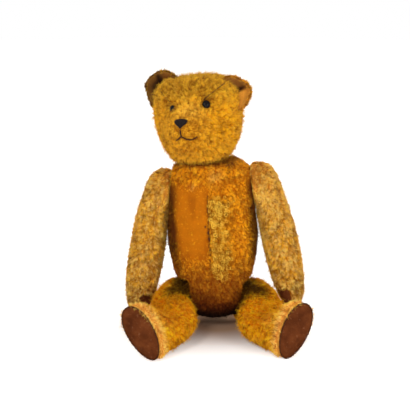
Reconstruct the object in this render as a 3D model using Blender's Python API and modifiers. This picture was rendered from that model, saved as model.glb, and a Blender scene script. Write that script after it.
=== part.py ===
"""A seated, five-way jointed teddy bear in worn mohair, stuffed with wood wool.

Metres, +Z up. The bear faces -Y, so its own left side is +X. The origin is on the floor, under the
middle of the bear. Each stuffed form is a mohair cover, which is a shell with its openings, a solid
stuffing inside it, and felt pads that close the covers at the paws and soles. The head and the four
limbs turn on disc joints: two card discs, two steel washers and a split pin each.
"""

import math

import bmesh
import bpy
import numpy as np
from mathutils import Matrix, Vector
from mathutils.bvhtree import BVHTree

# Walls and gaps
COVER_WALL = 0.0022
FELT_WALL = 0.0014
GAP = 0.0004
SHORT_EDGE = 0.00003
FILL_GAP = 0.0008
SEAT_GAP = 0.0003

# Segments and rings of the forms
TORSO_GRID = (20, 24)
HEAD_GRID = (22, 16)
ARM_GRID = (14, 12)
LEG_GRID = (16, 18)
PIN_HOLE_SIDES = 8
DISC_SIDES = 16
WASHER_SIDES = 12
POCKET_SIDES = 20
SMALL_GRID = (14, 8)
EAR_GRID = (14, 4)
SOLE_SIDES = 24

# Where the bear sits, so that the origin is under the middle of it
STANCE = Matrix.Translation((-0.0021, 0.0434, 0.0))

# Torso: the whole trunk leans a little to the bear's right
TORSO_LEAN = math.radians(3.2)
TORSO_FOOT = Vector((0.0013, 0.0, 0.0))
# height, half width, depth in front, depth behind
TORSO_STATIONS = (
    (0.0080, 0.0000, 0.000, 0.000),
    (0.0088, 0.0120, 0.012, 0.012),
    (0.0140, 0.0235, 0.024, 0.023),
    (0.0240, 0.0305, 0.033, 0.031),
    (0.0400, 0.0362, 0.039, 0.036),
    (0.0600, 0.0432, 0.042, 0.038),
    (0.0900, 0.0488, 0.043, 0.039),
    (0.1200, 0.0495, 0.041, 0.041),
    (0.1450, 0.0480, 0.037, 0.042),
    (0.1600, 0.0460, 0.033, 0.040),
    (0.1700, 0.0420, 0.031, 0.036),
    (0.1780, 0.0370, 0.029, 0.032),
    (0.1820, 0.0300, 0.025, 0.027),
    (0.1832, 0.0000, 0.000, 0.000),
)
TORSO_SQUARENESS = 2.25

# Head: height above the neck, half width, depth in front, depth behind, reach of the snout
NECK = Vector((-0.0062, 0.002, 0.1824))
HEAD_TURN = math.radians(-13.0)
HEAD_TILT = math.radians(2.4)
HEAD_STATIONS = (
    (0.0004, 0.0000, 0.000, 0.000, 0.000),
    (0.0005, 0.0220, 0.022, 0.022, 0.000),
    (0.0025, 0.0300, 0.030, 0.030, 0.000),
    (0.0095, 0.0355, 0.035, 0.035, 0.002),
    (0.0205, 0.0412, 0.038, 0.039, 0.012),
    (0.0315, 0.0450, 0.039, 0.041, 0.021),
    (0.0395, 0.0468, 0.039, 0.042, 0.024),
    (0.0485, 0.0475, 0.038, 0.042, 0.023),
    (0.0600, 0.0472, 0.037, 0.042, 0.012),
    (0.0730, 0.0445, 0.034, 0.039, 0.001),
    (0.0815, 0.0390, 0.030, 0.034, 0.000),
    (0.0868, 0.0310, 0.025, 0.028, 0.000),
    (0.0893, 0.0200, 0.016, 0.018, 0.000),
    (0.0900, 0.0000, 0.000, 0.000, 0.000),
)
HEAD_SQUARENESS = 2.2
HEAD_FRONT_CROWDING = 1.4
SNOUT_SPREAD = math.radians(27)

# Ears: each is a cup, cut from two discs of cloth, across the corner of the head
EARS = {
    "left": {"side": 1, "radius": 0.0175, "centre": (0.0405, 0.004, 0.0690)},
    "right": {"side": -1, "radius": 0.0210, "centre": (-0.0330, 0.004, 0.0760)},
}
EAR_CUP = 0.0100
EAR_CREASE = 0.0045
EAR_BACK_WALL = 0.0020
EAR_LINING_WALL = 0.0014
EAR_YAW = math.radians(8.0)

# Face
EYE_RADIUS = 0.0043
EYE_DOME = 0.0026
EYE_BACK = 0.0014
FACE_GAP = 0.0005
IN_FRONT = 0.2
EYES = {"left": (0.0206, 0.0630), "right": (-0.0130, 0.0620)}
NOSE_SIZE = (0.0190, 0.0112)
NOSE_DEPTH = 0.0020
NOSE_BACK = 0.0008
NOSE_TAPER = 0.62
NOSE_HEIGHT = 0.0480
MOUTH_HEIGHT = 0.0365
MOUTH_THREAD = 0.00075
MOUTH_START = 0.0068
MOUTH_REACH = 0.0130
MOUTH_DROP = 0.0045

# Arms: distance down from the joint, inner face, outer face, half depth, forward swing
ARM_STATIONS = (
    (-0.0240, 0.0080, 0.0080, 0.0000, 0.000),
    (-0.0225, 0.0030, 0.0150, 0.0080, 0.000),
    (-0.0160, 0.0006, 0.0230, 0.0155, 0.000),
    (-0.0050, 0.0003, 0.0277, 0.0200, 0.000),
    (0.0120, 0.0003, 0.0322, 0.0218, 0.000),
    (0.0340, 0.0006, 0.0370, 0.0220, 0.000),
    (0.0600, 0.0015, 0.0408, 0.0215, 0.000),
    (0.0850, 0.0042, 0.0430, 0.0205, 0.0000),
    (0.1050, 0.0085, 0.0432, 0.0190, -0.0005),
    (0.1200, 0.0135, 0.0418, 0.0170, -0.0015),
    (0.1300, 0.0190, 0.0390, 0.0140, -0.0025),
    (0.1365, 0.0240, 0.0345, 0.0085, -0.0030),
    (0.1380, 0.0290, 0.0290, 0.0000, -0.0035),
)
ARM_SQUARENESS = 2.2
SHOULDERS = {
    "left": {"side": 1, "centre": (0.0386, 0.002, 0.1555), "tilt": math.radians(7.7)},
    "right": {"side": -1, "centre": (-0.0495, 0.002, 0.1468), "tilt": math.radians(4.2)},
}
PAW_MIDDLE = (0.0330, -0.0015)
PAW_PAD_TOP = 0.1185
PAW_PAD_HALF_WIDTH = 0.0110
PAW_PAD_FACING = math.radians(54)
PAW_CUT_DEPTH = 0.040
PAW_CUT_HEIGHT = 0.050

# Legs: distance forward from the joint, inner face, outer face, middle height, half height, toe lean
LEG_STATIONS = (
    (-0.0262, 0.0190, 0.0190, 0.0000, 0.0000, 0.0),
    (-0.0242, 0.0090, 0.0290, 0.0000, 0.0100, 0.0),
    (-0.0172, 0.0020, 0.0370, 0.0000, 0.0188, 0.0),
    (-0.0050, 0.0004, 0.0400, 0.0000, 0.0248, 0.0),
    (0.0140, 0.0003, 0.0410, 0.0000, 0.0258, 0.0),
    (0.0300, -0.0010, 0.0412, -0.0004, 0.0254, 2.0),
    (0.0450, -0.0110, 0.0405, -0.0018, 0.0240, 4.0),
    (0.0600, -0.0150, 0.0402, -0.0048, 0.0210, 6.0),
    (0.0760, -0.0140, 0.0405, -0.0078, 0.0180, 9.0),
    (0.0920, -0.0090, 0.0420, -0.0066, 0.0190, 12.0),
    (0.1050, -0.0020, 0.0440, 0.0010, 0.0258, 14.0),
    (0.1135, 0.0030, 0.0452, 0.0046, 0.0314, 15.5),
    (0.1188, 0.0050, 0.0445, 0.0052, 0.0322, 15.5),
    (0.1204, 0.0068, 0.0430, 0.0052, 0.0308, 15.5),
    (0.1207, 0.0250, 0.0250, 0.0052, 0.0000, 15.5),
)
LEG_SQUARENESS = 2.25
HEEL_TAPER = 0.10
HIPS = {
    "left": {
        "side": 1,
        "centre": (0.0215, -0.004, 0.0255),
        "splay": math.radians(19.5),
        "roll": math.radians(3.0),
        "length": 1.0,
        "lean": 1.20,
    },
    "right": {
        "side": -1,
        "centre": (-0.0220, -0.006, 0.0270),
        "splay": math.radians(8.0),
        "roll": math.radians(6.0),
        "length": 1.06,
        "lean": 1.45,
    },
}
HIP_CLEAR_HEIGHT = 0.0285
HIP_CLEAR_RISE = 0.20
HIP_CLEAR_SLOPE = 5.0
ANKLE = 0.0800
ANKLE_CUT = 0.1600
ANKLE_SEAM = 0.0002
SOLE_PAD = (0.0152, 0.0292)
SOLE_CENTRE = (0.0262, 0.0052)
SOLE_CUT = 0.0060
SOLE_LEAN = math.radians(LEG_STATIONS[-1][-1])

# Disc joints
SEAT_FADE = (0.0185, 0.0260)
HIP_SEAT = 0.0300
SEAT_DEPTH = 0.0060
DISC_RADIUS = 0.0108
NECK_DISC_RADIUS = 0.0160
DISC_WALL = 0.0026
WASHER_RADIUS = 0.0062
WASHER_WALL = 0.0008
PIN_WIRE = 0.0007
PIN_SPACING = 0.0009
PIN_HOLE = 0.0020
EYE_OF_PIN = 0.0024
PIN_CURL = 0.0026
PIN_CURL_ANGLE = math.radians(155)

MATERIALS = {
    "mohair": ((0.62, 0.36, 0.07), 0.9, 0.0),
    "felt": ((0.09, 0.035, 0.018), 0.95, 0.0),
    "ear_lining": ((0.25, 0.13, 0.045), 0.9, 0.0),
    "wood_wool": ((0.66, 0.52, 0.30), 0.9, 0.0),
    "card": ((0.36, 0.26, 0.15), 0.8, 0.0),
    "steel": ((0.45, 0.44, 0.42), 0.4, 1.0),
    "boot_button": ((0.012, 0.009, 0.008), 0.12, 0.0),
    "black_thread": ((0.015, 0.011, 0.010), 0.6, 0.0),
}


def clear_scene():
    for obj in list(bpy.data.objects):
        bpy.data.objects.remove(obj)


def make_material(name):
    colour, roughness, metallic = MATERIALS[name]
    made = bpy.data.materials.new(name)
    made.use_nodes = True
    shader = made.node_tree.nodes["Principled BSDF"]
    shader.inputs["Base Color"].default_value = (*colour, 1.0)
    shader.inputs["Roughness"].default_value = roughness
    shader.inputs["Metallic"].default_value = metallic
    return made


def collection(name):
    made = bpy.data.collections.new(name)
    bpy.context.scene.collection.children.link(made)
    return made


def add_object(name, bm, material, body="torso"):
    """A named piece of the bear, from a bmesh in world space, that moves with a body."""
    mesh = bpy.data.meshes.new(name)
    bm.to_mesh(mesh)
    bm.free()
    mesh.shade_smooth()
    mesh.set_sharp_from_angle(angle=math.radians(50))
    obj = bpy.data.objects.new(name, mesh)
    obj.data.materials.append(MADE[material])
    BEAR.objects.link(obj)
    if body in PIVOTS:
        obj.parent = PIVOTS[body]
        obj.matrix_parent_inverse = PIVOTS[body].matrix_world.inverted()
    return obj


def add_pivot(body, frame):
    """An empty on a joint's axis, which carries the pieces of the moving body."""
    pivot = bpy.data.objects.new(body + "_pivot", None)
    pivot.matrix_world = frame
    BEAR.objects.link(pivot)
    bpy.context.view_layer.update()
    return pivot


def add_cutter(name, bm):
    """A helper solid that only cuts, and is never shown."""
    mesh = bpy.data.meshes.new(name)
    bm.to_mesh(mesh)
    bm.free()
    obj = bpy.data.objects.new(name, mesh)
    obj.hide_render = True
    obj.display_type = "WIRE"
    CUTTERS.objects.link(obj)
    return obj


def boolean(obj, cutter, operation="DIFFERENCE"):
    modifier = obj.modifiers.new(cutter.name, "BOOLEAN")
    modifier.operation = operation
    modifier.object = cutter
    modifier.solver = "EXACT"


def thicken(obj, wall, offset):
    """Gives a surface a wall, behind it when the offset is -1 and in front of it when it is 1."""
    modifier = obj.modifiers.new("wall", "SOLIDIFY")
    modifier.thickness = wall
    modifier.offset = offset


def smooth_cuts(obj):
    """Merges the tiny edges that the cuts leave, and splits the faces without needles."""
    obj.modifiers.new("merge", "WELD").merge_threshold = SHORT_EDGE
    obj.modifiers.new("split", "TRIANGULATE").ngon_method = "BEAUTY"


def frame_matrix(origin, x_axis, y_axis, z_axis):
    """A placement whose columns are the three axes."""
    return Matrix(
        (
            (x_axis[0], y_axis[0], z_axis[0], origin[0]),
            (x_axis[1], y_axis[1], z_axis[1], origin[1]),
            (x_axis[2], y_axis[2], z_axis[2], origin[2]),
            (0, 0, 0, 1),
        )
    )


def along(axis, origin):
    """A placement whose Z runs along the axis."""
    return Matrix.Translation(origin) @ Vector(axis).to_track_quat("Z", "Y").to_matrix().to_4x4()


# ---------------------------------------------------------------- forms


def profile_at(stations, share):
    """The station values at a share (0 to 1) of the way round the form's outline, on a smooth curve."""
    table = np.array(stations, float)
    outline = np.linalg.norm(np.diff(table[:, :3], axis=0), axis=1)
    at = np.concatenate([[0.0], np.cumsum(outline)]) / outline.sum()
    i = int(np.clip(np.searchsorted(at, share) - 1, 0, len(at) - 2))
    step = at[i + 1] - at[i]
    t = (share - at[i]) / step
    before, after = max(i - 1, 0), min(i + 2, len(at) - 1)
    slope_0 = (table[i + 1] - table[before]) / (at[i + 1] - at[before]) * step
    slope_1 = (table[after] - table[i]) / (at[after] - at[i]) * step
    return (
        (2 * t**3 - 3 * t**2 + 1) * table[i]
        + (t**3 - 2 * t**2 + t) * slope_0
        + (3 * t**2 - 2 * t**3) * table[i + 1]
        + (t**3 - t**2) * slope_1
    )


def rounded(angle, power):
    """(cosine, sine) of a superellipse: squarer than a circle when power is over 2."""
    c, s = math.cos(angle), math.sin(angle)
    return (
        math.copysign(abs(c) ** (2 / power), c),
        math.copysign(abs(s) ** (2 / power), s),
    )


def ball_form(place, segments, rings):
    """A sphere primitive whose points are moved by place(share, angle), which gives a world point.
    share runs from 0 at the lower pole to 1 at the upper one."""
    bm = bmesh.new()
    bmesh.ops.create_uvsphere(bm, u_segments=segments, v_segments=rings, radius=1.0)
    for vert in bm.verts:
        share = math.acos(max(-1.0, min(1.0, -vert.co.z))) / math.pi
        vert.co = place(share, math.atan2(vert.co.y, vert.co.x))
    if bm.calc_volume(signed=True) < 0:
        bmesh.ops.reverse_faces(bm, faces=bm.faces)
    bmesh.ops.triangulate(bm, faces=bm.faces)
    bm.normal_update()
    return bm


def shrink(bm, distance):
    """Moves every point inwards along its normal."""
    moved = [vert.co - vert.normal * distance for vert in bm.verts]
    for vert, co in zip(bm.verts, moved):
        vert.co = co
    return bm


def keep_behind(point, joint):
    """Moves a point back along the joint's axis to the plane that the limb or the head needs free.
    Over a hip the body is left alone, above the height that the thigh reaches."""
    offset = point - joint["centre"]
    above = offset.dot(joint["up"]) - HIP_CLEAR_HEIGHT - HIP_CLEAR_RISE * max(0.0, offset.dot(joint["ahead"]))
    free = max(0.0, above) * HIP_CLEAR_SLOPE if joint["body"].startswith("leg") else 0.0
    behind = offset.dot(joint["axis"])
    reach = (offset - joint["axis"] * behind).length
    over = behind + SEAT_GAP - free
    if over < 0 and reach < SEAT_FADE[1] and behind > -SEAT_DEPTH:
        fade = max(0.0, (reach - SEAT_FADE[0]) / (SEAT_FADE[1] - SEAT_FADE[0]))
        return point - joint["axis"] * over * (1 - fade * fade * (3 - 2 * fade))
    return point - joint["axis"] * over if over > 0 else point


def torso_point(share, angle):
    height, half, front, back = profile_at(TORSO_STATIONS, share)
    c, s = rounded(angle, TORSO_SQUARENESS)
    local = Vector((half * c, (back if s > 0 else front) * s, height))
    point = TORSO @ local
    for joint in JOINTS.values():
        point = keep_behind(point, joint)
    return point


def head_local(share, angle):
    """A point of the head in its own frame, with Z up the neck pin."""
    height, half, front, back, snout = profile_at(HEAD_STATIONS, share)
    from_front = (angle + math.pi / 2 + math.pi) % (2 * math.pi) - math.pi
    crowded = math.copysign(math.pi * abs(from_front / math.pi) ** HEAD_FRONT_CROWDING, from_front)
    c, s = rounded(crowded - math.pi / 2, HEAD_SQUARENESS)
    x, y = half * c, (back if s > 0 else front) * s
    bearing = math.atan2(x, -y)
    reach = math.hypot(x, y) + snout * math.exp(-((bearing / SNOUT_SPREAD) ** 2))
    return Vector((reach * math.sin(bearing), -reach * math.cos(bearing), max(height, SEAT_GAP)))


def head_point(share, angle):
    return HEAD @ head_local(share, angle)


def seated(out, reach, facing):
    """Presses a limb's inner side flat around its joint, over the disc and a little further."""
    if facing > 0 or reach > SEAT_FADE[1]:
        return out
    fade = max(0.0, (reach - SEAT_FADE[0]) / (SEAT_FADE[1] - SEAT_FADE[0]))
    return SEAT_GAP + (out - SEAT_GAP) * fade * fade * (3 - 2 * fade)


def arm_placer(name):
    arm = SHOULDERS[name]

    def place(share, angle):
        down, inner, outer, half_depth, swing = profile_at(ARM_STATIONS, share)
        c, s = rounded(angle, ARM_SQUARENESS)
        out = max((inner + outer) / 2 + (outer - inner) / 2 * c, SEAT_GAP)
        deep = swing + half_depth * s
        out = seated(out, math.hypot(down, deep), c)
        return ARM_FRAMES[name] @ Vector((out * arm["side"], deep, -down))

    return place


def leg_placer(name):
    leg = HIPS[name]

    def place(share, angle):
        ahead, inner, outer, lift, half_height, lean = profile_at(LEG_STATIONS, share)
        c, s = rounded(angle, LEG_SQUARENESS)
        breadth = 1 + HEEL_TAPER * (s - 1) * max(0.0, ahead / LEG_STATIONS[-1][0]) ** 3
        across = Vector(((outer - inner) / 2 * c * breadth, half_height * s))
        across.rotate(Matrix.Rotation(-math.radians(lean) * leg["lean"], 2))
        out = (inner + outer) / 2 + across.x
        reach = math.hypot(ahead, lift + across.y)
        out = seated(max(out, SEAT_GAP) if reach < HIP_SEAT else out, reach, c)
        point = LEG_FRAMES[name] @ Vector((out * leg["side"], -ahead * leg["length"], lift + across.y))
        return Vector((point.x, point.y, max(point.z, 0.0)))

    return place


# ---------------------------------------------------------------- pieces


def add_cover(name, body, place, grid, openings):
    """A mohair shell with its openings."""
    cover = add_object(name, ball_form(place, *grid), "mohair", body)
    thicken(cover, COVER_WALL, -1)
    for cutter in openings:
        boolean(cover, cutter)
    return cover


def stuffed(name, place, grid, openings, pockets):
    """A mohair cover with its openings, and the stuffing inside it with its pockets."""
    smooth_cuts(add_cover(name + "_cover", name, place, grid, openings))
    filling_form = shrink(ball_form(place, *grid), COVER_WALL + FILL_GAP)
    filling = add_object(name + "_stuffing", filling_form, "wood_wool", name)
    for cutter in pockets:
        boolean(filling, cutter)


def felt_pad(name, place, grid, cutter, body):
    """A felt pad: the part of the form's skin that lies in the cutter."""
    pad = add_object(name, ball_form(place, *grid), "felt", body)
    thicken(pad, FELT_WALL, -1)
    boolean(pad, cutter, "INTERSECT")


def cylinder(radius, low, high, axis, origin, segments):
    bm = bmesh.new()
    bmesh.ops.create_cone(
        bm, cap_ends=True, segments=segments, radius1=radius, radius2=radius, depth=high - low
    )
    bmesh.ops.transform(bm, matrix=Matrix.Translation((0, 0, (low + high) / 2)), verts=bm.verts)
    bmesh.ops.transform(bm, matrix=along(axis, origin), verts=bm.verts)
    return bm


def ring_plate(name, radius, span, joint, material, segments, body):
    """A flat round plate on the joint's axis, with the pin's hole."""
    form = cylinder(radius, min(span), max(span), joint["axis"], joint["centre"], segments)
    boolean(add_object(name, form, material, body), joint["hole"])


def wire(points, radius, matrix):
    """A closed round wire through the points."""
    data = bpy.data.curves.new("wire", "CURVE")
    data.dimensions = "3D"
    data.bevel_depth = radius
    data.bevel_resolution = 1
    data.use_fill_caps = True
    spline = data.splines.new("POLY")
    spline.points.add(len(points) - 1)
    for target, point in zip(spline.points, points):
        target.co = (*point, 1.0)
    curve = bpy.data.objects.new("wire", data)
    CUTTERS.objects.link(curve)
    bpy.context.view_layer.update()
    mesh = bpy.data.meshes.new_from_object(curve.evaluated_get(bpy.context.evaluated_depsgraph_get()))
    bpy.data.objects.remove(curve)
    bm = bmesh.new()
    bm.from_mesh(mesh)
    bmesh.ops.remove_doubles(bm, verts=bm.verts, dist=0.00001)
    bmesh.ops.transform(bm, matrix=matrix, verts=bm.verts)
    bmesh.ops.recalc_face_normals(bm, faces=bm.faces)
    return bm


def split_pin(name, joint):
    """A bent wire: an eye inside the limb, two legs through the discs and a curl on each leg."""
    shank_top, shank_end = HARDWARE["pin_eye"], -HARDWARE["pin_eye"]
    start = math.asin(PIN_SPACING / EYE_OF_PIN)
    eye = [
        (EYE_OF_PIN * math.sin(a), shank_top + EYE_OF_PIN * (1 - math.cos(a)))
        for a in np.linspace(math.pi, start, 6)
    ]
    curl = [
        (PIN_SPACING + PIN_CURL * (1 - math.cos(a)), shank_end - PIN_CURL * math.sin(a))
        for a in np.linspace(0.0, PIN_CURL_ANGLE, 5)
    ]
    half = [*eye, *curl]
    points = [(-across, 0.0, up) for across, up in reversed(half)]
    points += [(across, 0.0, up) for across, up in half[1:]]
    pin = wire(points, PIN_WIRE, along(joint["axis"], joint["centre"]))
    add_object(name, pin, "steel", joint["body"])


def add_joint_cutters(name, joint):
    """The two pockets that the discs lie in and the pin's hole."""
    radius = joint["radius"] + GAP
    near, deep = HARDWARE["disc_near"] - GAP, HARDWARE["pocket_end"]
    cuts = {
        "outer_pocket": (radius, near, deep, POCKET_SIDES),
        "inner_pocket": (radius, -deep, -near, POCKET_SIDES),
        "hole": (PIN_HOLE, -deep, deep, PIN_HOLE_SIDES),
    }
    for cut, (reach, low, high, sides) in cuts.items():
        form = cylinder(reach, low, high, joint["axis"], joint["centre"], sides)
        joint[cut] = add_cutter(f"{name}_{cut}", form)


def disc_joint(name, joint):
    """Both card discs, both washers and the split pin of one joint."""
    body = joint["body"]
    for side, owner, label in ((1, body, body.split("_")[0]), (-1, "torso", "body")):
        disc = (side * HARDWARE["disc_near"], side * HARDWARE["disc_far"])
        washer = (side * HARDWARE["washer_near"], side * HARDWARE["washer_far"])
        ring_plate(f"{name}_{label}_disc", joint["radius"], disc, joint, "card", DISC_SIDES, owner)
        ring_plate(f"{name}_{label}_washer", WASHER_RADIUS, washer, joint, "steel", WASHER_SIDES, owner)
    split_pin(name + "_split_pin", joint)


def paw_pad_cutter(name, spare):
    """A straight-topped tongue that takes the inner front of the paw."""
    side = SHOULDERS[name]["side"]
    bm = bmesh.new()
    bmesh.ops.create_cube(bm, size=1.0)
    wide = 2 * (PAW_PAD_HALF_WIDTH - spare)
    bmesh.ops.scale(bm, vec=(wide, PAW_CUT_DEPTH, PAW_CUT_HEIGHT), verts=bm.verts)
    middle = Vector((0.0, -PAW_CUT_DEPTH / 2, -(PAW_PAD_TOP + spare) - PAW_CUT_HEIGHT / 2))
    bmesh.ops.translate(bm, vec=middle, verts=bm.verts)
    turn = Matrix.Rotation(-PAW_PAD_FACING * side, 4, "Z")
    paw_middle = Matrix.Translation((PAW_MIDDLE[0] * side, PAW_MIDDLE[1], 0.0))
    bmesh.ops.transform(bm, matrix=ARM_FRAMES[name] @ paw_middle @ turn, verts=bm.verts)
    return add_cutter(f"paw_{name}_opening_{'pad' if spare else 'cover'}", bm)


def sole_pad_cutter(name, spare):
    """An oval prism across the sole, leaning with the toe."""
    side = HIPS[name]["side"]
    bm = bmesh.new()
    bmesh.ops.create_cone(
        bm, cap_ends=True, segments=SOLE_SIDES, radius1=1.0, radius2=1.0, depth=SOLE_CUT
    )
    for vert in bm.verts:
        vert.co.x *= (SOLE_PAD[0] - spare) * (1 + HEEL_TAPER * (vert.co.y - 1))
        vert.co.y *= SOLE_PAD[1] - spare
    lie = Matrix.Rotation(math.radians(90), 4, "X")
    lean = Matrix.Rotation(SOLE_LEAN * HIPS[name]["lean"] * side, 4, "Y")
    ahead = LEG_STATIONS[-1][0] * HIPS[name]["length"]
    place = Matrix.Translation((SOLE_CENTRE[0] * side, -ahead, SOLE_CENTRE[1]))
    bmesh.ops.transform(bm, matrix=LEG_FRAMES[name] @ place @ lean @ lie, verts=bm.verts)
    return add_cutter(f"sole_{name}_opening_{'pad' if spare else 'cover'}", bm)


def ankle_cutter(name, label, way):
    """A block across the leg, which runs ahead from the ankle's seam when way is 1 and back when it is -1."""
    bm = bmesh.new()
    bmesh.ops.create_cube(bm, size=ANKLE_CUT)
    ahead = ANKLE * HIPS[name]["length"] + way * (ANKLE_CUT - ANKLE_SEAM) / 2
    bmesh.ops.transform(bm, matrix=LEG_FRAMES[name] @ Matrix.Translation((0, -ahead, 0)), verts=bm.verts)
    return add_cutter(f"{label}_{name}_end", bm)


def make_torso():
    holes = [joint["hole"] for joint in JOINTS.values()]
    pockets = [joint["inner_pocket"] for joint in JOINTS.values()]
    stuffed("torso", torso_point, TORSO_GRID, holes, pockets)


def make_head():
    stuffed("head", head_point, HEAD_GRID, [JOINTS["neck"]["hole"]], [JOINTS["neck"]["outer_pocket"]])


def make_arm(name):
    place, joint = arm_placer(name), JOINTS[f"shoulder_{name}"]
    openings = (joint["hole"], paw_pad_cutter(name, 0.0))
    stuffed(f"arm_{name}", place, ARM_GRID, openings, [joint["outer_pocket"]])
    felt_pad(f"paw_pad_{name}", place, ARM_GRID, paw_pad_cutter(name, SEAT_GAP), f"arm_{name}")


def make_leg(name):
    place, joint = leg_placer(name), JOINTS[f"hip_{name}"]
    openings = (joint["hole"], ankle_cutter(name, "thigh", 1))
    stuffed(f"leg_{name}", place, LEG_GRID, openings, [joint["outer_pocket"]])
    openings = (sole_pad_cutter(name, 0.0), ankle_cutter(name, "foot", -1))
    add_cover(f"foot_{name}_cover", f"leg_{name}", place, LEG_GRID, openings)
    felt_pad(f"sole_pad_{name}", place, LEG_GRID, sole_pad_cutter(name, SEAT_GAP), f"leg_{name}")


def ear_surface(ear):
    """A round cup of cloth: a disc whose rim curls forward, pinched along its middle."""
    radius, side = ear["radius"], ear["side"]
    segments, rings = EAR_GRID
    bm = bmesh.new()
    bmesh.ops.create_circle(bm, cap_ends=False, segments=segments, radius=radius)
    rim = list(bm.edges)
    for ring in range(1, rings):
        made = bmesh.ops.extrude_edge_only(bm, edges=rim)["geom"]
        verts = [g for g in made if isinstance(g, bmesh.types.BMVert)]
        rim = [g for g in made if isinstance(g, bmesh.types.BMEdge)]
        shorter = (rings - ring) / (rings - ring + 1)
        bmesh.ops.scale(bm, vec=(shorter, shorter, 1.0), verts=verts)
    bmesh.ops.edgeloop_fill(bm, edges=rim)
    for vert in bm.verts:
        reach = math.hypot(vert.co.x, vert.co.y) / radius
        pinch = math.exp(-((vert.co.y / (0.3 * radius)) ** 2))
        vert.co.z = EAR_CUP * reach**2 - EAR_CREASE * pinch * reach
    stand = frame_matrix((0, 0, 0), (1, 0, 0), (0, 0, 1), (0, -1, 0))
    yaw = Matrix.Rotation(EAR_YAW * side, 4, "Z")
    place = Matrix.Translation(ear["centre"])
    bmesh.ops.transform(bm, matrix=HEAD @ place @ yaw @ stand, verts=bm.verts)
    bmesh.ops.recalc_face_normals(bm, faces=bm.faces)
    forward = HEAD.to_3x3() @ Vector((0, -1, 0))
    if sum(face.normal.dot(forward) for face in bm.faces) < 0:
        bmesh.ops.reverse_faces(bm, faces=bm.faces)
    bm.normal_update()
    return bm


def make_ears():
    """Each ear is a brown lining on a mohair back, and both stop just short of the head."""
    cutter = add_cutter("head_form", shrink(ball_form(head_point, *HEAD_GRID), -SEAT_GAP))
    for name, ear in EARS.items():
        lining = add_object(f"ear_{name}_lining", ear_surface(ear), "ear_lining", "head")
        thicken(lining, EAR_LINING_WALL, 1)
        back = add_object(f"ear_{name}_back", shrink(ear_surface(ear), SEAT_GAP), "mohair", "head")
        thicken(back, EAR_BACK_WALL, -1)
        boolean(lining, cutter)
        boolean(back, cutter)


def face_hit(x, height):
    """The point and the outward direction of the face at a place seen from the front."""
    point, normal, _, _ = FACE.ray_cast(Vector((x, -IN_FRONT, height)), Vector((0, 1, 0)))
    return point, normal


def make_eyes():
    """Boot buttons: a low dome on a flatter back."""
    for name, place in EYES.items():
        point, normal = face_hit(*place)
        bm = bmesh.new()
        bmesh.ops.create_uvsphere(bm, u_segments=SMALL_GRID[0], v_segments=SMALL_GRID[1], radius=EYE_RADIUS)
        for vert in bm.verts:
            vert.co.z *= EYE_DOME / EYE_RADIUS if vert.co.z > 0 else EYE_BACK / EYE_RADIUS
        lift = point + normal * (EYE_BACK + FACE_GAP)
        bmesh.ops.transform(bm, matrix=HEAD @ along(normal, lift), verts=bm.verts)
        add_object(f"eye_{name}", bm, "boot_button", "head")


def make_nose():
    """A satin-stitched shield, wide at the top and pointed below."""
    point, normal = face_hit(0.0, NOSE_HEIGHT)
    bm = bmesh.new()
    bmesh.ops.create_uvsphere(bm, u_segments=SMALL_GRID[0], v_segments=SMALL_GRID[1], radius=1.0)
    for vert in bm.verts:
        taper = NOSE_TAPER + (1 - NOSE_TAPER) * max(-1.0, min(1.0, vert.co.y * 1.3))
        height = vert.co.z * NOSE_DEPTH if vert.co.z > 0 else vert.co.z * NOSE_BACK
        vert.co = Vector((vert.co.x * NOSE_SIZE[0] / 2 * taper, vert.co.y * NOSE_SIZE[1] / 2, height))
    lift = point + normal * (NOSE_BACK + FACE_GAP)
    up = (Vector((0, 0, 1)) - normal * normal.z).normalized()
    bmesh.ops.transform(bm, matrix=HEAD @ frame_matrix(lift, up.cross(normal), up, normal), verts=bm.verts)
    add_object("nose_stitching", bm, "black_thread", "head")


def make_mouth():
    """One thread: down from the nose and out in two curves."""

    def on_face(x, z):
        point, normal = face_hit(x, z)
        return point + normal * (MOUTH_THREAD + FACE_GAP)

    sweep = np.linspace(0.0, 1.0, 7)
    smile = [(MOUTH_REACH * t, MOUTH_HEIGHT - MOUTH_DROP * math.sin(math.pi * 0.62 * t)) for t in sweep]
    left = [on_face(x, z) for x, z in smile]
    right = [on_face(-x, z) for x, z in smile[1:]]
    stem = [on_face(0.0, z) for z in np.linspace(NOSE_HEIGHT - MOUTH_START, MOUTH_HEIGHT, 4)]
    smile_wire = wire([*reversed(right), *left], MOUTH_THREAD, HEAD)
    mouth = add_object("mouth_stitching", smile_wire, "black_thread", "head")
    boolean(mouth, add_cutter("mouth_stem", wire(stem, MOUTH_THREAD, HEAD)), "UNION")


def leg_frame(leg):
    """A placement whose Y runs back along the leg and whose Z runs up across it."""
    turn = Matrix.Rotation(leg["splay"] * leg["side"], 4, "Z")
    roll = Matrix.Rotation(leg["roll"] * leg["side"], 4, "Y")
    return STANCE @ Matrix.Translation(leg["centre"]) @ turn @ roll


def arm_frame(arm):
    """A placement whose Z runs up along the arm."""
    return STANCE @ Matrix.Translation(arm["centre"]) @ Matrix.Rotation(-arm["tilt"] * arm["side"], 4, "Y")


def joint_on(body, frame, outward, radius):
    """A disc joint at a frame's origin, whose axis points from the torso into the body it carries."""
    turn = frame.to_3x3()
    return {
        "body": body,
        "centre": frame.translation.copy(),
        "axis": (turn @ Vector(outward)).normalized(),
        "ahead": turn @ Vector((0, -1, 0)),
        "up": turn @ Vector((0, 0, 1)),
        "radius": radius,
    }


clear_scene()
BEAR = collection("teddy_bear")
CUTTERS = collection("cutters")
MADE = {name: make_material(name) for name in MATERIALS}

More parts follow.
